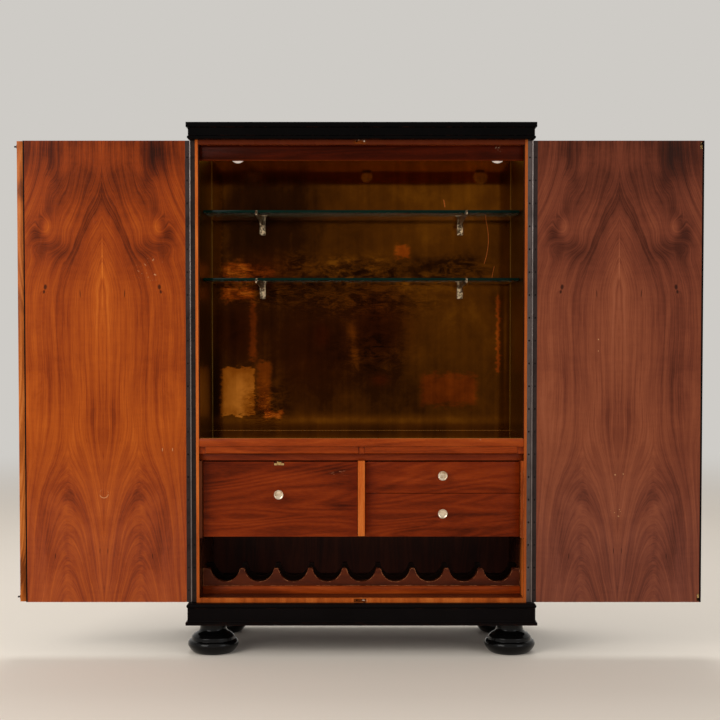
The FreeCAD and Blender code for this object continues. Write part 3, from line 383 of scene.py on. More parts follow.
finishes = {
    "walnutLeft": matchedVeneer("walnutFlameLeft", leftDoorLook),
    "walnutRightShaded": matchedVeneer("walnutFlameRightShaded", rightDoorLook),
    # on the front lippings, the darkened top rail and the darker right upright are painted shade
    "lippingUpright": plank("walnutLippingUpright", "z", lippingTones,
        {"wear": 0.4, "rings": 60.0, "topRailShade": (caseHalf, 1.45, (80, 24, 2)),
            "paintedLightBands": [("x", 0.4, 0.47, (120, 60, 26), 0.45)], "chips": dabs(-0.19, (0.0, 1.467, 0.02, 0.006),
                (0.004, 0.155, 0.016, 0.008))}),
    "doorLip": plank("walnutDoorLip", "z", ((120, 56, 14), (180, 94, 32), (214, 132, 66)),
        {"figure": 3.0, "rings": 140.0, "ringTone": 0.1, "patches": dabs(-0.18, (-0.972, 1.33, 0.02, 0.03, -0.35),
            (-0.972, 0.24, 0.02, 0.05, -0.35))}),
    # on the fronts, the patch at x -0.44 darkens the flap's left edge: painted shade from the liner
    "fronts": plank("mahoganyFronts", "x", frontTones, {"figure": 1.5, "swirl": 1.2, "rings": 150.0, "ringTone": 0.07,
        "ringScale": 0.8, "lean": (0.0, 0.09, 0.0), "rough": 0.26,
        "patches": dabs(-0.16, (-0.055, 0.425, 0.04, 0.014, -0.3), (-0.06, 0.515, 0.05, 0.03, -0.22),
            (-0.44, 0.44, 0.05, 0.12, -0.06)), "chipShape": (0.25, 1.0, 1.6), "chipTone": (176, 108, 74),
            "gloss": 0.06, "coat": 0.01, "chips": dabs(-0.16, (-0.06, 0.52, 0.03, 0.008), (0.03, 0.465, 0.02, 0.0022),
                (-0.215, 0.538, 0.016, 0.004))}),
    "boards": plank("mahoganyBoards", "x", boardTones, {"wear": 0.6, "figure": 2.4, "wornTone": (206, 128, 84),
        "chips": dabs(-0.19, (0.36, 0.6175, 0.05, 0.0016))}),
    # the slide bed: a darker copy of the board mahogany, painted shade for its recess
    "boardsDeepShaded": plank("mahoganyBoardsDeepShaded", "x", ((72, 22, 4), (112, 38, 8), (140, 56, 16)),
        {"wear": 0.55, "figure": 2.4}),
    "guides": plank("mahoganyGuides", "y", boardTones, {"wear": 0.2}),
    # the top board: lighter tones and a glow behind the pelmet, painted light
    "ceilingGlow": plank("mahoganyCeilingGlow", "x", ((120, 44, 8), (170, 70, 16), (200, 96, 34)),
        {"rough": 0.3, "glow": ((210, 168, 40), 0.6, pelmetRear)}),
    # the liners' band darkens the left liner: painted shade
    "liners": plank("mahoganyLiners", "z", ((110, 44, 10), (160, 70, 20), (196, 98, 38)),
        {"wear": 0.8, "wornTone": (226, 158, 100), "paintedLightBands": [("x", 0.3, -0.3, (44, 18, 8), 0.85)]}),
    "darkLevel": plank("mahoganyDarkLevel", "x", ((46, 14, 4), (84, 28, 8), (116, 44, 14)),
        {"wear": 0.6, "wornTone": (150, 66, 24)}),
    # the rack base's band darkens it behind the front rail, and its patch darkens its left part: painted shade
    "rackBase": plank("mahoganyRackBase", "x", ((104, 36, 6), (150, 58, 12), (186, 84, 26)),
        {"wear": 0.6, "wornTone": (214, 128, 66), "paintedLightBands": [("y", railShadow + 0.01, railShadow + 0.024, (14, 7, 4),
            0.95)], "patches": dabs(-0.12, (-0.4, 0.17, 0.16, 0.05, -0.25))}),
    # the rails' band darkens the rear rail: painted shade
    "rails": plank("mahoganyRails", "x", ((44, 16, 6), (78, 30, 12), (108, 46, 18)),
        {"wear": 1.0, "wornTone": (226, 146, 96), "rim": 0.003,
            "paintedLightBands": [("y", railShadow + 0.026, railShadow + 0.05, (14, 6, 3), 0.97)]}),
    # the pelmet's band along its lower edge is a lighter line: a painted highlight
    "pelmet": plank("mahoganyPelmet", "x", ((28, 6, 1), (50, 11, 1), (76, 20, 3)),
        {"rough": 0.24, "wear": 0.95, "gloss": 0.03, "coat": 0.0,
            "paintedLightBands": [("z", pelmetFoot + 0.0032, pelmetFoot + 0.0016, (130, 48, 10), 0.3)],
            "wornTone": (170, 66, 18), "chips": dabs(-0.18, (0.39, 1.448, 0.01, 0.01))}),
    # the pelmet's back face: a glow, painted light
    "pelmetBackGlow": plank("mahoganyPelmetBackGlow", "x", boardTones, {"rough": 0.5, "glow": ((156, 116, 30), 0.26, -1.0)}),
    "carcass": plank("darkCarcass", "x", ((36, 22, 15), (66, 42, 28), (94, 62, 42)),
        {"coat": 0.0, "rough": 0.55, "gloss": 0.2}),
    "bottomBoard": plank("bottomBoard", "x", ((40, 16, 8), (66, 26, 12), (92, 40, 20)),
        {"rough": 0.3, "gloss": 0.25}),
    "liningBoards": plank("liningBoards", "z", ((30, 11, 5), (52, 19, 8), (80, 32, 13)),
        {"coat": 0.0, "rough": 0.6, "gloss": 0.02, "wear": 0.05}),
    "carcassUpright": plank("darkCarcassUpright", "z", ((40, 16, 9), (74, 31, 16), (102, 48, 26)),
        {"coat": 0.0, "rough": 0.55, "gloss": 0.2}),
    "drawerLining": plank("drawerLining", "x", ((128, 90, 56), (172, 130, 86), (202, 164, 116)),
        {"coat": 0.0, "rough": 0.5, "wear": 0.3}),
    "blackPlinth": lacquer("ebonisedPlinth", "x", {"gloss": 0.025, "rough": 0.36,
        "wornBands": [(0.0895, 0.0925, 0.6)], "under": (96, 46, 24), "lightest": (18, 14, 14)}),
    "blackCornice": lacquer("ebonisedCornice", "x", {"wornBands": [(1.471, 1.4725, 0.4)], "darkest": (3, 3, 3),
        "lightest": (9, 7, 7), "gloss": 0.03}),
    "blackUpright": lacquer("ebonisedUpright", "z", {"rough": 0.24}),
    "blackSides": lacquer("ebonisedSides", "z", {"rough": 0.24, "bareInside": (caseHalf, (92, 42, 17))}),
    "blackTurned": lacquer("ebonisedTurned", "x", {"rough": 0.16, "gloss": 0.14, "coat": 0.1, "wear": 0.2,
        "darkest": (4, 4, 4), "lightest": (9, 8, 8)}),
}
print("woods mixed:", len(finishes))


# metals, glass, rubber

def metal(name, bright, dull, look):
    stock = Recipe(name, Metallic=1.0)
    lines = stock.grained(stock.place, look.get("brush", (1.0, 1.0, 1.0)), look.get("lineScale", 18.0), 4.0, 0.7)
    cloud = stock.noise(stock.place, look.get("cloud", 40.0), 4.0, 0.65)
    film = stock.plus((cloud, look.get("cloudShare", 1.0)), (lines, 0.35), -0.17)
    tarnish = stock.between(film, look.get("clean", 0.45), look.get("foul", 0.7))
    worn = stock.edges(0.0008)
    colour = stock.mix(tarnish, bright, dull)
    colour = stock.stainedOrLit(colour, worn, look.get("wear", 0.5), look.get("wornTone", bright))
    for centre, size, tone in look.get("spots", []):
        colour = stock.mix(stock.between(stock.spot(stock.place, centre, size), 0.35, 0.55), colour, tone)
    rough = stock.plus(look["rough"], (tarnish, 0.25), (lines, 0.12), -0.06)
    normal = stock.bump(stock.plus(lines, (cloud, 0.6)), 0.0003, look.get("grainDepth", 0.25))
    return stock.feed(Base_Color=colour, Roughness=rough, Normal=normal)


def brassLining(name, look):
    # polished sheet gone amber and olive: slow waves, ruffled places, dark bloom and scratches, with patches of
    # painted reflection, a painted lighter floor and olive side walls
    sheet = Recipe(name, Metallic=1.0)
    onBack = sheet.between(sheet.y, look["backFace"] - 0.004, look["backFace"] - 0.002)
    wave = sheet.grained(sheet.place, (1.3, 1.3, 1.0), 2.0, 2.0, 0.5, 0.4)
    ruffle = sheet.grained(sheet.place, (1.0, 1.0, 3.4), 30.0, 3.0, 0.6, 1.6)
    bloomAndSheen = sheet.grained(sheet.place, (1.0, 1.0, 0.8), 5.0, 5.0, 0.62, 0.7)
    run = sheet.grained(sheet.place, (34.0, 34.0, 1.4), 1.0, 3.0, 0.6)
    cloud = sheet.noise(sheet.place, 17.0, 4.0, 0.65, 0.5)
    age = sheet.plus(look["level"], (sheet.plus(bloomAndSheen, -0.5), 0.42), (sheet.plus(cloud, -0.5), 0.24),
        (sheet.plus(run, -0.5), 0.22))
    age = sheet.dabbed(age, sheet.place, look["tints"])
    # painted reflections: patches with ragged sides, some of them redder
    crumple = sheet.grained(sheet.place, (1.0, 1.0, 2.2), 42.0, 3.0, 0.65)
    ragX = sheet.plus(sheet.x, (sheet.plus(crumple, -0.5), 0.03))
    ragZ = sheet.plus(sheet.z, (sheet.plus(crumple, -0.5), 0.055))
    redness = 0.0
    for left, right, low, high, soft, amount, red in look["patches"]:
        span = sheet.times(sheet.window(ragX, left, right, soft), sheet.window(ragZ, low, high, soft))
        span = sheet.times(span, onBack)
        age = sheet.plus(age, (span, amount))
        redness = sheet.plus(redness, (span, red))
    redness = sheet.dabbed(redness, sheet.place, look["embers"])
    # painted light: the floor of the sheet is made lighter and the side walls are recoloured olive, standing in for
    # what they reflect
    onFloor = sheet.falls(sheet.z, look["floorTop"] - 0.002, look["floorTop"] + 0.002)
    age = sheet.plus(age, (onFloor, look["floorTint"]))
    onSide = sheet.between(sheet.math("ABSOLUTE", sheet.x), look["sideFace"] - 0.003, look["sideFace"] - 0.001)
    onSide = sheet.times(onSide, sheet.plus(1.0, (onFloor, -1.0)))
    age = sheet.plus(age, (onSide, look["sideTint"]))
    streak = sheet.grained(sheet.place, (1.0, 1.0, 2.2), 19.0, 5.0, 0.75, 0.7)
    streak = sheet.between(streak, 0.36, 0.64, -1.0, 1.0)
    for centre, size, amount in look["streaked"]:
        age = sheet.plus(age, (sheet.times(sheet.spot(sheet.place, centre, size), streak), amount))
    colour = sheet.ramp(age, look["tones"])
    colour = sheet.mix(sheet.math("MINIMUM", redness, 0.8), colour, sheet.ramp(age, look["redTones"]))
    colour = sheet.stainedOrLit(colour, onSide, 0.6, look["sideTone"])
    ruffled = sheet.dabbed(0.0, sheet.place, look["ruffled"])
    scratches = 0.0
    for centre, radius, width, left, low, high in look["scratches"]:
        offLine = sheet.plus(sheet.distance(sheet.vector(sheet.x, 0.0, sheet.z), centre), -radius)
        line = sheet.falls(sheet.math("ABSOLUTE", offLine), width * 0.3, width)
        line = sheet.times(line, sheet.window(sheet.z, low, high, 0.003))
        line = sheet.times(line, sheet.times(onBack, sheet.between(sheet.x, left, left + 0.002)))
        scratches = sheet.math("MAXIMUM", scratches, line)
    colour = sheet.stainedOrLit(colour, scratches, 0.75, look["scratchTone"])
    corner = sheet.edges(0.0012)
    colour = sheet.stainedOrLit(colour, corner, 0.75, (186, 150, 96))
    rim = sheet.between(sheet.y, look["frontEdge"] + 0.0005, look["frontEdge"] + 0.002, 0.95, 0.0)
    colour = sheet.mix(rim, colour, (20, 9, 4))
    rough = sheet.plus(0.06, (sheet.falls(age, 0.2, 0.5), 0.08), (run, 0.03), (ruffled, 0.05),
        (scratches, 0.25), (onSide, 0.22))
    swell = sheet.bump(wave, 0.02, look["waves"])
    ripple = sheet.bump(sheet.times(ruffle, ruffled), 0.004, look["dents"], swell)
    return sheet.feed(Base_Color=colour, Roughness=rough, Normal=ripple)


brassLow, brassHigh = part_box("brass_sheets")
backDepth = 0.148
brassLook = {
    # floorTint, sideTint and sideTone carry painted light: a lighter floor and olive side walls
    "frontEdge": brassLow.y, "backFace": brassHigh.y - 0.0008, "floorTop": brassLow.z + 0.0008, "floorTint": 0.78,
    "sideFace": brassHigh.x - 0.0008, "sideTint": 0.2, "sideTone": (112, 84, 24),
    "level": 0.39, "tones": [(0.0, (18, 7, 3)), (0.25, (44, 20, 4)), (0.5, (86, 45, 6)), (0.72, (126, 72, 12)),
        (1.0, (206, 130, 46))],
    "redTones": [(0.0, (28, 8, 2)), (0.3, (74, 26, 4)), (0.6, (140, 56, 8)), (1.0, (214, 112, 30))],
    "waves": 0.1, "dents": 0.5,
    "tints": [((-0.3, backDepth, 1.27), (0.14, 1.0, 0.16), -0.2)] + dabs(backDepth,
        (0.02, 1.33, 0.16, 0.12, 0.06), (0.27, 1.33, 0.2, 0.16, 0.16), (0.28, 0.97, 0.13, 0.15, 0.12),
        (0.36, 0.86, 0.06, 0.2, 0.06), (-0.38, 0.93, 0.05, 0.08, -0.26), (-0.14, 0.86, 0.15, 0.16, -0.24),
        (0.05, 0.93, 0.08, 0.11, -0.26), (0.08, 0.77, 0.12, 0.08, -0.12), (0.25, 1.13, 0.12, 0.03, -0.16),
        (-0.06, 1.14, 0.08, 0.03, 0.12), (0.04, 1.15, 0.06, 0.04, 0.12), (-0.02, 0.855, 0.014, 0.04, 0.26),
        (-0.03, 0.93, 0.018, 0.03, 0.22), (0.0, 0.655, 0.5, 0.016, 0.22), (0.2, 1.063, 0.26, 0.014, 0.1),
        (0.445, 0.9, 0.006, 0.18, 0.22), (-0.38, 0.745, 0.03, 0.05, 0.16),
        thick=0.1) + [((-0.455, 0.0, 0.72), (0.02, 0.4, 0.13), -0.3)],
    "embers": dabs(backDepth,
        (-0.121, 0.918, 0.02, 0.03, 0.8), (0.058, 0.779, 0.025, 0.016, 0.8), (0.05, 0.95, 0.08, 0.1, 0.5),
        (-0.38, 0.93, 0.06, 0.09, 0.5), (-0.15, 0.88, 0.14, 0.15, 0.35), (-0.3, 1.12, 0.1, 0.05, 0.4),
        thick=0.1),
    # the patches are painted reflections: left, right, low, high, softness, lift and redness
    "patches": [
        (-0.434, -0.329, 0.668, 0.816, 0.004, 0.36, 0.3), (-0.322, -0.28, 0.682, 0.84, 0.01, 0.2, 0.45),
        (-0.3, -0.245, 0.664, 0.682, 0.008, 0.34, 0.9), (-0.425, -0.345, 1.096, 1.138, 0.018, 0.4, 0.95),
        (-0.345, -0.27, 1.096, 1.125, 0.016, 0.16, 0.8), (-0.43, -0.33, 1.028, 1.066, 0.012, 0.2, 0.85),
        (0.104, 0.152, 1.158, 1.194, 0.008, 0.16, 0.75), (0.187, 0.355, 0.702, 0.795, 0.014, 0.04, 0.75),
        (-0.47, -0.431, 1.08, 1.392, 0.002, 0.16, 0.0), (0.418, 0.428, 0.8, 1.04, 0.005, 0.16, 0.9),
        (-0.345, -0.325, 0.84, 1.02, 0.008, 0.12, 0.6),
    ],
    "streaked": dabs(backDepth,
        (-0.03, 1.125, 0.12, 0.036, 0.26), (0.27, 1.125, 0.12, 0.034, 0.22), (-0.38, 1.1, 0.08, 0.04, 0.2),
        (-0.33, 1.045, 0.12, 0.03, 0.18), (0.02, 1.02, 0.22, 0.045, 0.16), (0.1, 1.085, 0.3, 0.018, 0.2),
        (-0.2, 1.14, 0.05, 0.03, 0.16), (0.03, 0.86, 0.1, 0.07, 0.14), (-0.3, 0.72, 0.06, 0.06, 0.16),
        thick=0.1),
    "ruffled": dabs(backDepth,
        (-0.35, 1.11, 0.08, 0.03, 1.3), (0.02, 1.12, 0.16, 0.035, 1.0), (-0.3, 1.04, 0.14, 0.03, 0.9),
        (0.0, 1.01, 0.2, 0.05, 1.0), (-0.3, 0.7, 0.05, 0.06, 1.2), (0.05, 0.85, 0.12, 0.09, 0.6),
        (0.25, 1.12, 0.14, 0.035, 0.5),
        thick=0.1),
    "scratches": [
        ((0.17, 0.0, 1.213), 0.222, 0.0014, 0.3, 1.138, 1.282),
        ((0.116, 0.0, 1.3), 0.142, 0.0024, 0.2, 1.312, 1.335),
        ((0.7, 0.0, 1.05), 0.3, 0.0012, 0.3, 1.095, 1.13),
    ],
    "scratchTone": (196, 104, 50),
}
steelWeb = {"rough": 0.46, "brush": (40.0, 40.0, 1.0), "lineScale": 30.0, "cloud": 14.0, "cloudShare": 0.5,
    "clean": 0.15, "foul": 0.45, "wear": 0.35, "grainDepth": 0.12}
boltLow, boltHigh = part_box("flap_bolt")
finishes.update({
    "brassLining": brassLining("agedBrassSheet", brassLook),
    "nickelPlated": metal("nickelPlatedWorn", (240, 214, 176), (66, 40, 24),
        {"rough": 0.32, "wear": 0.9, "clean": 0.4, "foul": 0.54, "cloud": 150.0, "wornTone": (250, 230, 198)}),
    "agedNickel": metal("agedNickel", (240, 222, 196), (176, 150, 118), {"rough": 0.2, "wear": 0.8, "cloud": 90.0}),
    # the hinge finishes are one steel in lit and shaded copies: the left case leaves and the door leaves painted
    # shade, the right case leaves painted light, the knuckles a painted highlight
    "leftWebShaded": metal("hingeWebLeftShaded", (48, 39, 36), (34, 27, 25), dict(steelWeb, wornTone=(98, 88, 84))),
    "rightWebLit": metal("hingeWebRightLit", (96, 86, 84), (74, 64, 62), dict(steelWeb, wornTone=(148, 138, 136))),
    "doorWebShaded": metal("hingeWebDoorShaded", (60, 50, 48), (44, 36, 35), dict(steelWeb, wornTone=(92, 82, 80))),
    "hingeBarrelHighlit": metal("hingeBarrelSteelHighlit", (128, 118, 114), (84, 76, 73),
        dict(steelWeb, rough=0.26, wornTone=(160, 150, 146))),
    "hingePin": metal("hingePinSteel", (190, 180, 172), (120, 112, 108), steelWeb),
    "strikePlate": metal("oxidisedStrike", (122, 58, 20), (84, 36, 11),
        {"rough": 0.55, "wear": 0.3, "wornTone": (150, 90, 54), "cloud": 160.0,
            "spots": dabs(-0.19, (0.008, 1.4675, 0.0022, 0.003, (235, 215, 195)),
                (-0.013, 1.4675, 0.0025, 0.0035, (14, 8, 6)), (0.006, 0.157, 0.0045, 0.0016, (225, 205, 185)),
                (-0.013, 0.157, 0.0025, 0.003, (14, 8, 6)))}),
    "blackIron": metal("blackenedIron", (62, 60, 60), (28, 27, 27),
        {"rough": 0.5, "wear": 0.5, "wornTone": (110, 104, 100)}),
    "boltBrass": metal("agedBoltBrass", (196, 160, 104), (78, 54, 30), {"rough": 0.32, "wear": 0.8, "clean": 0.42,
        "foul": 0.56, "cloud": 110.0, "wornTone": (226, 196, 140)}),
    "flapBolt": metal("agedFlapBolt", (206, 170, 112), (120, 86, 48), {"rough": 0.34, "wear": 0.6, "cloud": 110.0,
        "wornTone": (226, 196, 140), "spots": [(((boltLow.x + boltHigh.x) / 2 + 0.002, -0.17, boltHigh.z - 0.0006),
            (0.009, 1.0, 0.0034), (18, 10, 6))]}),
    "screwSteel": metal("screwSteel", (34, 30, 30), (16, 14, 14),
        {"rough": 0.45, "wear": 0.5, "wornTone": (70, 64, 62)}),
})


def clearGlass(name, tint, rough):
    plate = Recipe(name, Transmission_Weight=0.97, IOR=1.5, Base_Color=tint)
    smear = plate.noise(plate.place, 9.0, 4.0, 0.6)
    return plate.feed(Roughness=plate.times(plate.between(smear, 0.5, 0.8), rough))


def polishedEdge(name):
    edge = Recipe(name, Specular_IOR_Level=0.05)
    depth = edge.grained(edge.place, (3.0, 3.0, 60.0), 2.0, 3.0, 0.6)
    nick = edge.between(edge.noise(edge.place, 120.0, 2.0, 0.6), 0.66, 0.72)
    colour = edge.mix(depth, (1, 15, 13), (4, 36, 28))
    colour = edge.stainedOrLit(colour, edge.edges(0.0009), 0.3, (40, 96, 80))
    return edge.feed(Base_Color=colour, Roughness=edge.plus(0.08, (nick, 0.3)))


def frosted(name):
    bulb = Recipe(name, Specular_IOR_Level=0.5, Subsurface_Weight=0.25, Subsurface_Scale=0.004,
        Emission_Strength=0.34)
    bulb.shader.inputs["Emission Color"].default_value = shade(255, 236, 222)
    grain = bulb.noise(bulb.place, 420.0, 2.0, 0.6)
    haze = bulb.noise(bulb.place, 45.0, 3.0, 0.6)
    colour = bulb.mix(haze, (206, 190, 180), (222, 210, 202))
    rough = bulb.plus(0.24, (haze, 0.2))
    return bulb.feed(Base_Color=colour, Roughness=rough, Normal=bulb.bump(grain, 0.0001, 0.3))


def moulded(name, base, spec, rough):
    plastic = Recipe(name, Specular_IOR_Level=spec)
    skin = plastic.noise(plastic.place, 260.0, 3.0, 0.6)
    dust = plastic.noise(plastic.place, 30.0, 4.0, 0.6)
    colour = plastic.mix(plastic.between(dust, 0.45, 0.75, 0.0, 0.3), base, (120, 108, 96))
    rough = plastic.plus(rough, (dust, 0.2), -0.1)
    return plastic.feed(Base_Color=colour, Roughness=rough, Normal=plastic.bump(skin, 0.0001, 0.3))


finishes.update({
    "shelfGlass": clearGlass("clearShelfGlass", (0.88, 0.95, 0.84, 1.0), 0.06),
    "glassEdge": polishedEdge("polishedGlassEdge"),
    "frostedGlass": frosted("frostedLampGlass"),
    "lampHolder": moulded("mouldedLampHolder", (46, 34, 28), 0.5, 0.35),
    "rubber": moulded("mattRubber", (32, 31, 31), 0.3, 0.7),
})
print("finishes ready:", len(finishes))


# the solid parts, dressed

dressing = {
    "blackSides": "side_panel_left side_panel_right",
    "blackUpright": "door_left_core door_left_edge door_right_core door_right_edge",
    "blackCornice": "cornice cap_board", "blackPlinth": "plinth_mouldings", "blackTurned": "bun_feet",
    "lippingUpright": "front_lippings centre_divider", "doorLip": "door_left_lip",
    "carcass": "plinth_frame back_battens", "ceilingGlow": "top_board", "bottomBoard": "bottom_board",
    "liningBoards": "lining_boards", "carcassUpright": "back_panel", "rubber": "cable_grommet",
    "brassLining": "brass_sheets", "boards": "bar_floor_board slide_left slide_right", "boardsDeepShaded": "slide_bed",
    "guides": "slide_guides", "fronts": "flap_panel drawer_upper_front drawer_lower_front", "pelmet": "pelmet",
    "liners": "liners", "darkLevel": "partition_board", "rackBase": "rack_base", "rails": "rack_rails",
    "lampHolder": "lamp_holders", "frostedGlass": "lamp_bulbs", "shelfGlass": "glass_shelves",
    "nickelPlated": "shelf_brackets", "strikePlate": "strike_plates", "leftWebShaded": "case_hinge_leaves",
    "hingePin": "flap_pins hinge_pins", "doorWebShaded": "door_left_hinge_leaf door_right_hinge_leaf",
    "flapBolt": "flap_bolt", "boltBrass": "key_escutcheon flush_bolt_upper flush_bolt_lower",
    "agedNickel": "flap_knob drawer_upper_knob drawer_lower_knob",
    "drawerLining": "drawer_runners drawer_upper_box drawer_lower_box", "walnutLeft": "door_left_veneer",
    "walnutRightShaded": "door_right_veneer", "blackIron": "lock_plates lock_bolts",
}
for finish, names in dressing.items():
    for name in names.split():
        materials = cadNodes[name].data.materials
        materials.clear()
        materials.append(finishes[finish])
undressed = set(cadNodes) - set(" ".join(dressing.values()).split())
print("solid parts dressed; left over:", sorted(undressed))

bodyOf = {node: body for body, members in frame["record"]["behaviour"]["bodies"].items() for node in members}


def mergedCopy(nodeName):
    # a closed working copy of a solid part, flats made whole again
    shell = bmesh.new()
    shell.from_mesh(cadNodes[nodeName].data)
    bmesh.ops.remove_doubles(shell, verts=shell.verts, dist=2e-6)
    bmesh.ops.dissolve_limit(shell, angle_limit=math.radians(0.5), verts=shell.verts, edges=shell.edges,
        delimit=set())
    return shell


def placed(name, data):
    made = bpy.data.objects.new(name, data)
    bpy.context.scene.collection.objects.link(made)
    return made


def settle(shell, name, body, materials, smoothBelow, standsFor=(), flatFrom=1.0):
    # writes the bmesh to an object at the origin, on its body; faces of flatFrom square metres or more stay flat
    mesh = bpy.data.meshes.new(name)
    for edge in shell.edges:
        small = all(face.calc_area() < flatFrom for face in edge.link_faces)
        edge.smooth = small and edge.is_manifold and edge.calc_face_angle(0.0) < math.radians(smoothBelow)
    for face in shell.faces:
        face.smooth = True
    shell.to_mesh(mesh)
    shell.free()
    piece = placed(name, mesh)
    for material in materials:
        mesh.materials.append(material)
    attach(piece, body)
    if standsFor:
        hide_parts(*standsFor)


def recast(shell, nodeName, pieceName, materials, smoothBelow, flatFrom=1.0):
    # a piece that stands for one solid part
    settle(shell, pieceName, bodyOf[nodeName], materials, smoothBelow, [nodeName], flatFrom)


# knuckled, run and globe-shaped parts: the same solid, shaded round
roundParts = {
    "lamp_bulbs": "lampBulbs", "lamp_holders": "lampHolders", "hinge_pins": "hingePins", "cornice": "corniceMoulding",
    "plinth_mouldings": "plinthMoulding", "rack_rails": "bottleRails", "cable_grommet": "leadGrommet",
}
for nodeName, pieceName in roundParts.items():
    flatFrom = 0.003 if "Moulding" in pieceName else 1.0
    recast(mergedCopy(nodeName), nodeName, pieceName, [cadNodes[nodeName].data.materials[0]], 35, flatFrom)

# hinge leaves: flat webs in lit and shaded copies of one steel, and knuckles in a brighter copy, a painted highlight
hingeLeaves = {"axis": 0.487, "barrel": 0.0027, "names": {
    "case_hinge_leaves": ("caseHingeLeaves", "leftWebShaded", "rightWebLit"),
    "door_left_hinge_leaf": ("leftDoorHingeLeaf", "doorWebShaded", "doorWebShaded"),
    "door_right_hinge_leaf": ("rightDoorHingeLeaf", "doorWebShaded", "doorWebShaded")}}
for nodeName, (pieceName, left, right) in hingeLeaves["names"].items():
    shell = mergedCopy(nodeName)
    for face in shell.faces:
        x = face.calc_center_median().x
        face.material_index = 2 if abs(abs(x) - hingeLeaves["axis"]) < hingeLeaves["barrel"] else int(x > 0)
    recast(shell, nodeName, pieceName, [finishes[left], finishes[right], finishes["hingeBarrelHighlit"]], 35)
print("round parts shaded:", len(roundParts) + len(hingeLeaves["names"]))


def turned(shell, profile, place, axis, steps):
    # spins a (radius, along) outline in millimetres about an axis through place
    verts = []
    for radius, along in profile:
        verts.append(shell.verts.new(Vector(place) + Vector((radius, 0.0, 0.0)) / 1000 + Vector(axis) * along / 1000))
    edges = [shell.edges.new(pair) for pair in zip(verts, verts[1:])]
    bmesh.ops.spin(shell, geom=verts + edges, cent=place, axis=axis, angle=math.radians(360), steps=steps,
        use_merge=True)


def closed(shell):
    bmesh.ops.remove_doubles(shell, verts=shell.verts, dist=1e-6)
    bmesh.ops.recalc_face_normals(shell, faces=shell.faces)
    return shell


footTurning = {
    "steps": 72, "radius": 0.0732,
    "profile": [(0.0, 0.0), (52.4, 0.0), (56.5, 1.3), (61.0, 4.4), (66.4, 10.6), (70.2, 16.2), (72.4, 21.0),
        (73.1, 25.2), (72.3, 30.0), (70.2, 33.8), (67.4, 36.4), (63.4, 37.2),
        (62.2, 37.8), (61.8, 39.2), (61.6, 45.6), (60.9, 47.4), (58.6, 49.0), (55.6, 52.4), (52.6, 55.2),
        (47.6, 57.6), (43.4, 60.2), (40.4, 64.0), (38.9, 68.4), (38.3, 74.0), (38.3, 89.5), (0.0, 89.5)],
}
low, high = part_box("bun_feet")
shell = bmesh.new()
for x in (low.x + footTurning["radius"], high.x - footTurning["radius"]):
    for y in (low.y + footTurning["radius"], high.y - footTurning["radius"]):
        turned(shell, footTurning["profile"], (x, y, 0.0), (0.0, 0.0, 1.0), footTurning["steps"])
recast(closed(shell), "bun_feet", "bunFeet", [finishes["blackTurned"]], 40)

knobTurning = {
    "steps": 48,
    "profile": [(0.0, 0.0), (8.5, 0.0), (8.5, 1.2), (8.1, 2.0), (6.9, 2.8), (6.0, 4.2), (5.5, 6.4), (5.4, 9.6),
        (5.7, 12.4), (6.6, 14.6), (8.8, 16.8), (11.6, 18.8), (13.4, 20.6),
        (14.0, 22.2), (13.8, 23.5), (13.2, 24.3), (12.3, 24.5), (11.5, 24.2), (10.9, 23.5), (9.8, 23.1), (6.0, 22.95),
        (0.0, 22.9)],
}
knobs = (
    ("flap_knob", "flapKnob", "flap_panel"), ("drawer_upper_knob", "upperDrawerKnob", "drawer_upper_front"),
    ("drawer_lower_knob", "lowerDrawerKnob", "drawer_lower_front"))
for nodeName, pieceName, frontName in knobs:
    low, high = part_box(nodeName)
    place = ((low.x + high.x) / 2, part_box(frontName)[0].y, (low.z + high.z) / 2)
    shell = bmesh.new()
    turned(shell, knobTurning["profile"], place, (0.0, -1.0, 0.0), knobTurning["steps"])
    recast(closed(shell), nodeName, pieceName, [finishes["agedNickel"]], 40)
print("feet and knobs turned")


def softened(shell, width, shortest=0.0):
    # takes the arrises off; sockets and knob holes, with edges under the shortest, keep their crisp rims
    sharp = []
    for edge in shell.edges:
        if edge.is_manifold and edge.calc_face_angle(0.0) > math.radians(40) and edge.calc_length() > shortest:
            sharp.append(edge)
    bmesh.ops.bevel(shell, geom=sharp, offset=width, offset_type="OFFSET", segments=2, profile=0.5,
        affect="EDGES", clamp_overlap=True, material=-1)
    return shell


# square-edged joinery: the same solid with its arrises taken off
softArris = {
    "cap_board": ("capBoard", 0.0012), "bar_floor_board": ("barFloorBoard", 0.0008),
    "slide_left": ("leftSlide", 0.0007), "slide_right": ("rightSlide", 0.0007),
    "slide_bed": ("slideBed", 0.0007), "centre_divider": ("centreDivider", 0.0006), "pelmet": ("lampPelmet", 0.0008),
    "rack_base": ("rackBase", 0.0008),
    "drawer_upper_front": ("upperDrawerFront", 0.0006), "drawer_lower_front": ("lowerDrawerFront", 0.0006),
    "partition_board": ("partitionBoard", 0.0006),
    "door_left_lip": ("leftDoorLip", 0.0006),
}
farFinish = {"pelmet": "pelmetBackGlow", "door_left_lip": "blackUpright"}  # on the side away from the viewer
for nodeName, (pieceName, width) in softArris.items():
    shell = softened(mergedCopy(nodeName), width, 0.02)
    materials = [cadNodes[nodeName].data.materials[0]]
    if nodeName in farFinish:
        materials.append(finishes[farFinish[nodeName]])
        for face in shell.faces:
            face.material_index = int(face.normal.y > 0.9)
    recast(shell, nodeName, pieceName, materials, 50)
print("arrises softened:", len(softArris))

# glass: clear faces, green polished edges
shell = softened(mergedCopy("glass_shelves"), 0.0006)
for face in shell.faces:
    face.material_index = int(abs(face.normal.z) <= 0.999)
recast(shell, "glass_shelves", "glassShelves", [finishes["shelfGlass"], finishes["glassEdge"]], 50)


# small fasteners

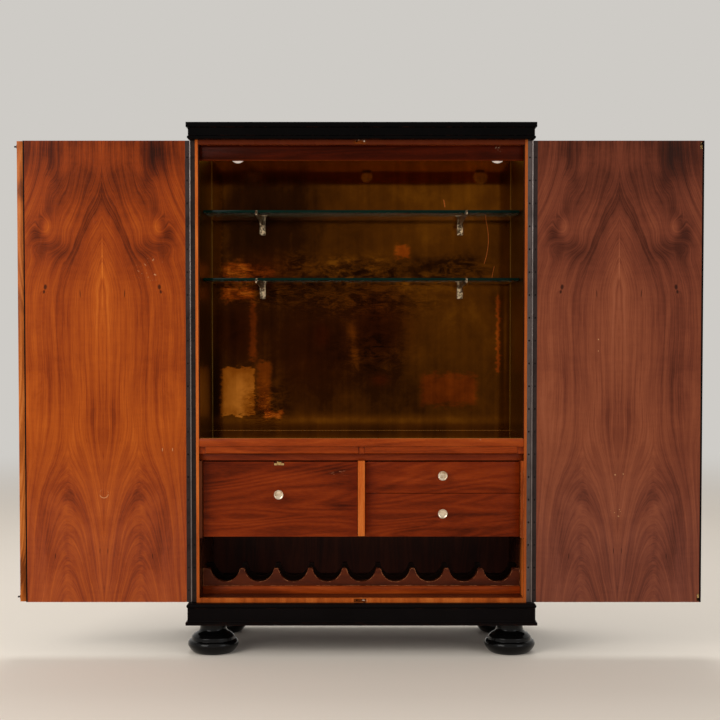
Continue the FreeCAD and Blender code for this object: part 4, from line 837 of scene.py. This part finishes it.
def slottedHead(shell, place, outward, radius, proud, slotTurn):
    # a countersunk screw head: a low dome with a cut slot
    made = bmesh.ops.create_cone(shell, cap_ends=True, segments=16, radius1=radius, radius2=radius * 0.86,
        depth=proud)
    verts = made["verts"]
    top = max((face for face in {f for v in verts for f in v.link_faces}), key=lambda f: f.calc_center_median().z)
    bmesh.ops.inset_region(shell, faces=[top], thickness=radius * 0.12, depth=proud * 0.2)
    side = Vector((math.cos(slotTurn), math.sin(slotTurn), 0.0))
    geometry = [top] + list(top.edges) + list(top.verts)
    for offset in (-0.14, 0.14):
        cut = bmesh.ops.bisect_plane(shell, geom=geometry, plane_co=side * radius * offset, plane_no=side, dist=1e-7)
        geometry = cut["geom"]
    faces = [g for g in geometry if isinstance(g, bmesh.types.BMFace)]
    middle = min(faces, key=lambda f: abs(f.calc_center_median().dot(side)))
    sunk = bmesh.ops.extrude_discrete_faces(shell, faces=[middle])["faces"][0]
    bmesh.ops.translate(shell, verts=sunk.verts, vec=(0.0, 0.0, -proud * 0.75))
    mine = set()
    stack = [verts[0]]
    while stack:
        vert = stack.pop()
        if vert not in mine:
            mine.add(vert)
            stack += [edge.other_vert(vert) for edge in vert.link_edges]
    turn = Vector((0.0, 0.0, 1.0)).rotation_difference(Vector(outward)).to_matrix().to_4x4()
    bmesh.ops.transform(shell, matrix=Matrix.Translation(Vector(place)) @ turn, verts=list(mine))


def screwRow(name, body, places, outward, radius, proud=0.0005):
    shell = bmesh.new()
    for number, place in enumerate(places):
        slottedHead(shell, Vector(place) + Vector(outward) * proud * 0.35, outward, radius, proud, 0.7 + number * 1.9)
    settle(shell, name, body, [finishes["screwSteel"]], 40)


hingeScrews = {
    "pitch": 0.065, "fromBottom": 0.035, "fromTop": 0.01, "count": 21, "radius": 0.0027, "fromAxis": 0.0085,
    "leaf": 0.0012}
leafLow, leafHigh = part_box("case_hinge_leaves")
hingeHeights = [leafLow.z + hingeScrews["fromBottom"] + hingeScrews["pitch"] * n for n in range(hingeScrews["count"])]
hingeHeights = [z for z in hingeHeights if z < leafHigh.z - hingeScrews["fromTop"]]
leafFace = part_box("side_panel_left")[0].y - hingeScrews["leaf"]
for side, sideName in ((-1, "Left"), (1, "Right")):
    for kind, body, away in (("case", "case", -1), ("door", "door_" + sideName.lower(), 1)):
        x = side * (hingeLeaves["axis"] + away * hingeScrews["fromAxis"])
        places = [(x, leafFace, z) for z in hingeHeights]
        screwRow(kind + "HingeScrews" + sideName, body, places, (0, -1, 0), hingeScrews["radius"])

backScrews = {"rows": 7, "columns": 5, "fromEdge": 0.012, "radius": 0.0032, "proud": 0.0006}
low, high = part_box("back_panel")
inset = backScrews["fromEdge"]
ring = []
for n in range(backScrews["rows"]):
    z = low.z + inset + (high.z - low.z - 2 * inset) * n / (backScrews["rows"] - 1)
    ring += [(low.x + inset, high.y, z), (high.x - inset, high.y, z)]
for n in range(1, backScrews["columns"] - 1):
    x = low.x + (high.x - low.x) * n / (backScrews["columns"] - 1)
    ring += [(x, high.y, low.z + inset), (x, high.y, high.z - inset)]
screwRow("backPanelScrews", "case", ring, (0, 1, 0), backScrews["radius"], backScrews["proud"])
print("screws set")


# floor, lights, camera

studio = {
    "floor": (243, 233, 220), "floorMottle": (228, 219, 208), "floorRadius": 30.0, "fadeFrom": 3.0, "fadeTo": 7.5,
    "background": (206, 203, 198), "ambient": 0.52, "ambientTint": (1.0, 0.985, 0.96, 1.0),
    "keyPower": 90.0, "fillPower": 24.0, "topPower": 46.0,
}

ground = Recipe("paleFloor", Specular_IOR_Level=0.1)
fromOrigin = ground.vectors("LENGTH", ground.place)
mottle = ground.noise(ground.place, 1.5, 3.0, 0.5)
ground.feed(Base_Color=ground.mix(ground.times(mottle, 0.3), studio["floor"], studio["floorMottle"]),
    Roughness=ground.plus(0.6, (mottle, 0.2)))
glow = ground.add("Emission", {"Color": shade(*studio["background"]), "Strength": 1.0})
fade = ground.add("MixShader", {0: ground.between(fromOrigin, studio["fadeFrom"], studio["fadeTo"]),
    1: ground.shader.outputs[0], 2: glow.outputs[0]})
ground.tree.links.new(fade.outputs[0], ground.tree.nodes["Material Output"].inputs[0])
shell = bmesh.new()
bmesh.ops.create_circle(shell, cap_ends=True, radius=studio["floorRadius"], segments=64)
floorMesh = bpy.data.meshes.new("studioFloor")
shell.to_mesh(floorMesh)
shell.free()
floorMesh.materials.append(ground.material)
floor = placed("studioFloor", floorMesh)

world = bpy.data.worlds.new("studioWorld")
bpy.context.scene.world = world
world.use_nodes = True
world.node_tree.nodes.clear()
sky = Graph(world.node_tree)
rays = sky.add("LightPath").outputs
seen = sky.math("MAXIMUM", rays["Is Camera Ray"], rays["Is Glossy Ray"])
seen = sky.math("MAXIMUM", seen, rays["Is Transmission Ray"])
soft = sky.add("Background", {0: studio["ambientTint"], 1: studio["ambient"]})
shown = sky.add("Background", {0: shade(*studio["background"])})
either = sky.add("MixShader", {0: seen, 1: soft.outputs[0], 2: shown.outputs[0]})
sky.add("OutputWorld", {0: either.outputs[0]})


def softbox(name, place, target, size, power, tint):
    lamp = bpy.data.lights.new(name, "AREA")
    lamp.shape = "RECTANGLE"
    lamp.size, lamp.size_y = size
    lamp.energy = power
    lamp.color = tint
    box = placed(name, lamp)
    box.location = place
    box.rotation_euler = (Vector(target) - Vector(place)).to_track_quat("-Z", "Y").to_euler()


softbox("keySoftbox", (-3.0, -3.4, 2.5), (-0.2, 0.0, 0.8), (2.4, 2.6), studio["keyPower"], (1.0, 0.97, 0.93))
softbox("fillSoftbox", (3.2, -3.0, 1.9), (0.3, 0.0, 0.8), (2.0, 2.0), studio["fillPower"], (0.95, 0.97, 1.0))
softbox("topSoftbox", (0.0, 1.2, 3.6), (0.0, 0.0, 0.9), (2.4, 1.6), studio["topPower"], (1.0, 1.0, 1.0))

view = {"place": (-0.004, -4.19, 0.91), "downDegrees": 1.95, "sensorWidth": 36.0, "focalPixels": 1401.8,
    "risePixels": 25.4, "frame": 720}
eye = bpy.data.cameras.new("viewCamera")
eye.sensor_width = view["sensorWidth"]
eye.lens = view["focalPixels"] / view["frame"] * view["sensorWidth"]
eye.shift_y = view["risePixels"] / view["frame"]
camera = placed("viewCamera", eye)
camera.location = view["place"]
camera.rotation_euler = (math.radians(90.0 - view["downDegrees"]), 0.0, 0.0)
bpy.context.scene.camera = camera
bpy.context.scene.view_settings.view_transform = "Standard"
print("studio set")
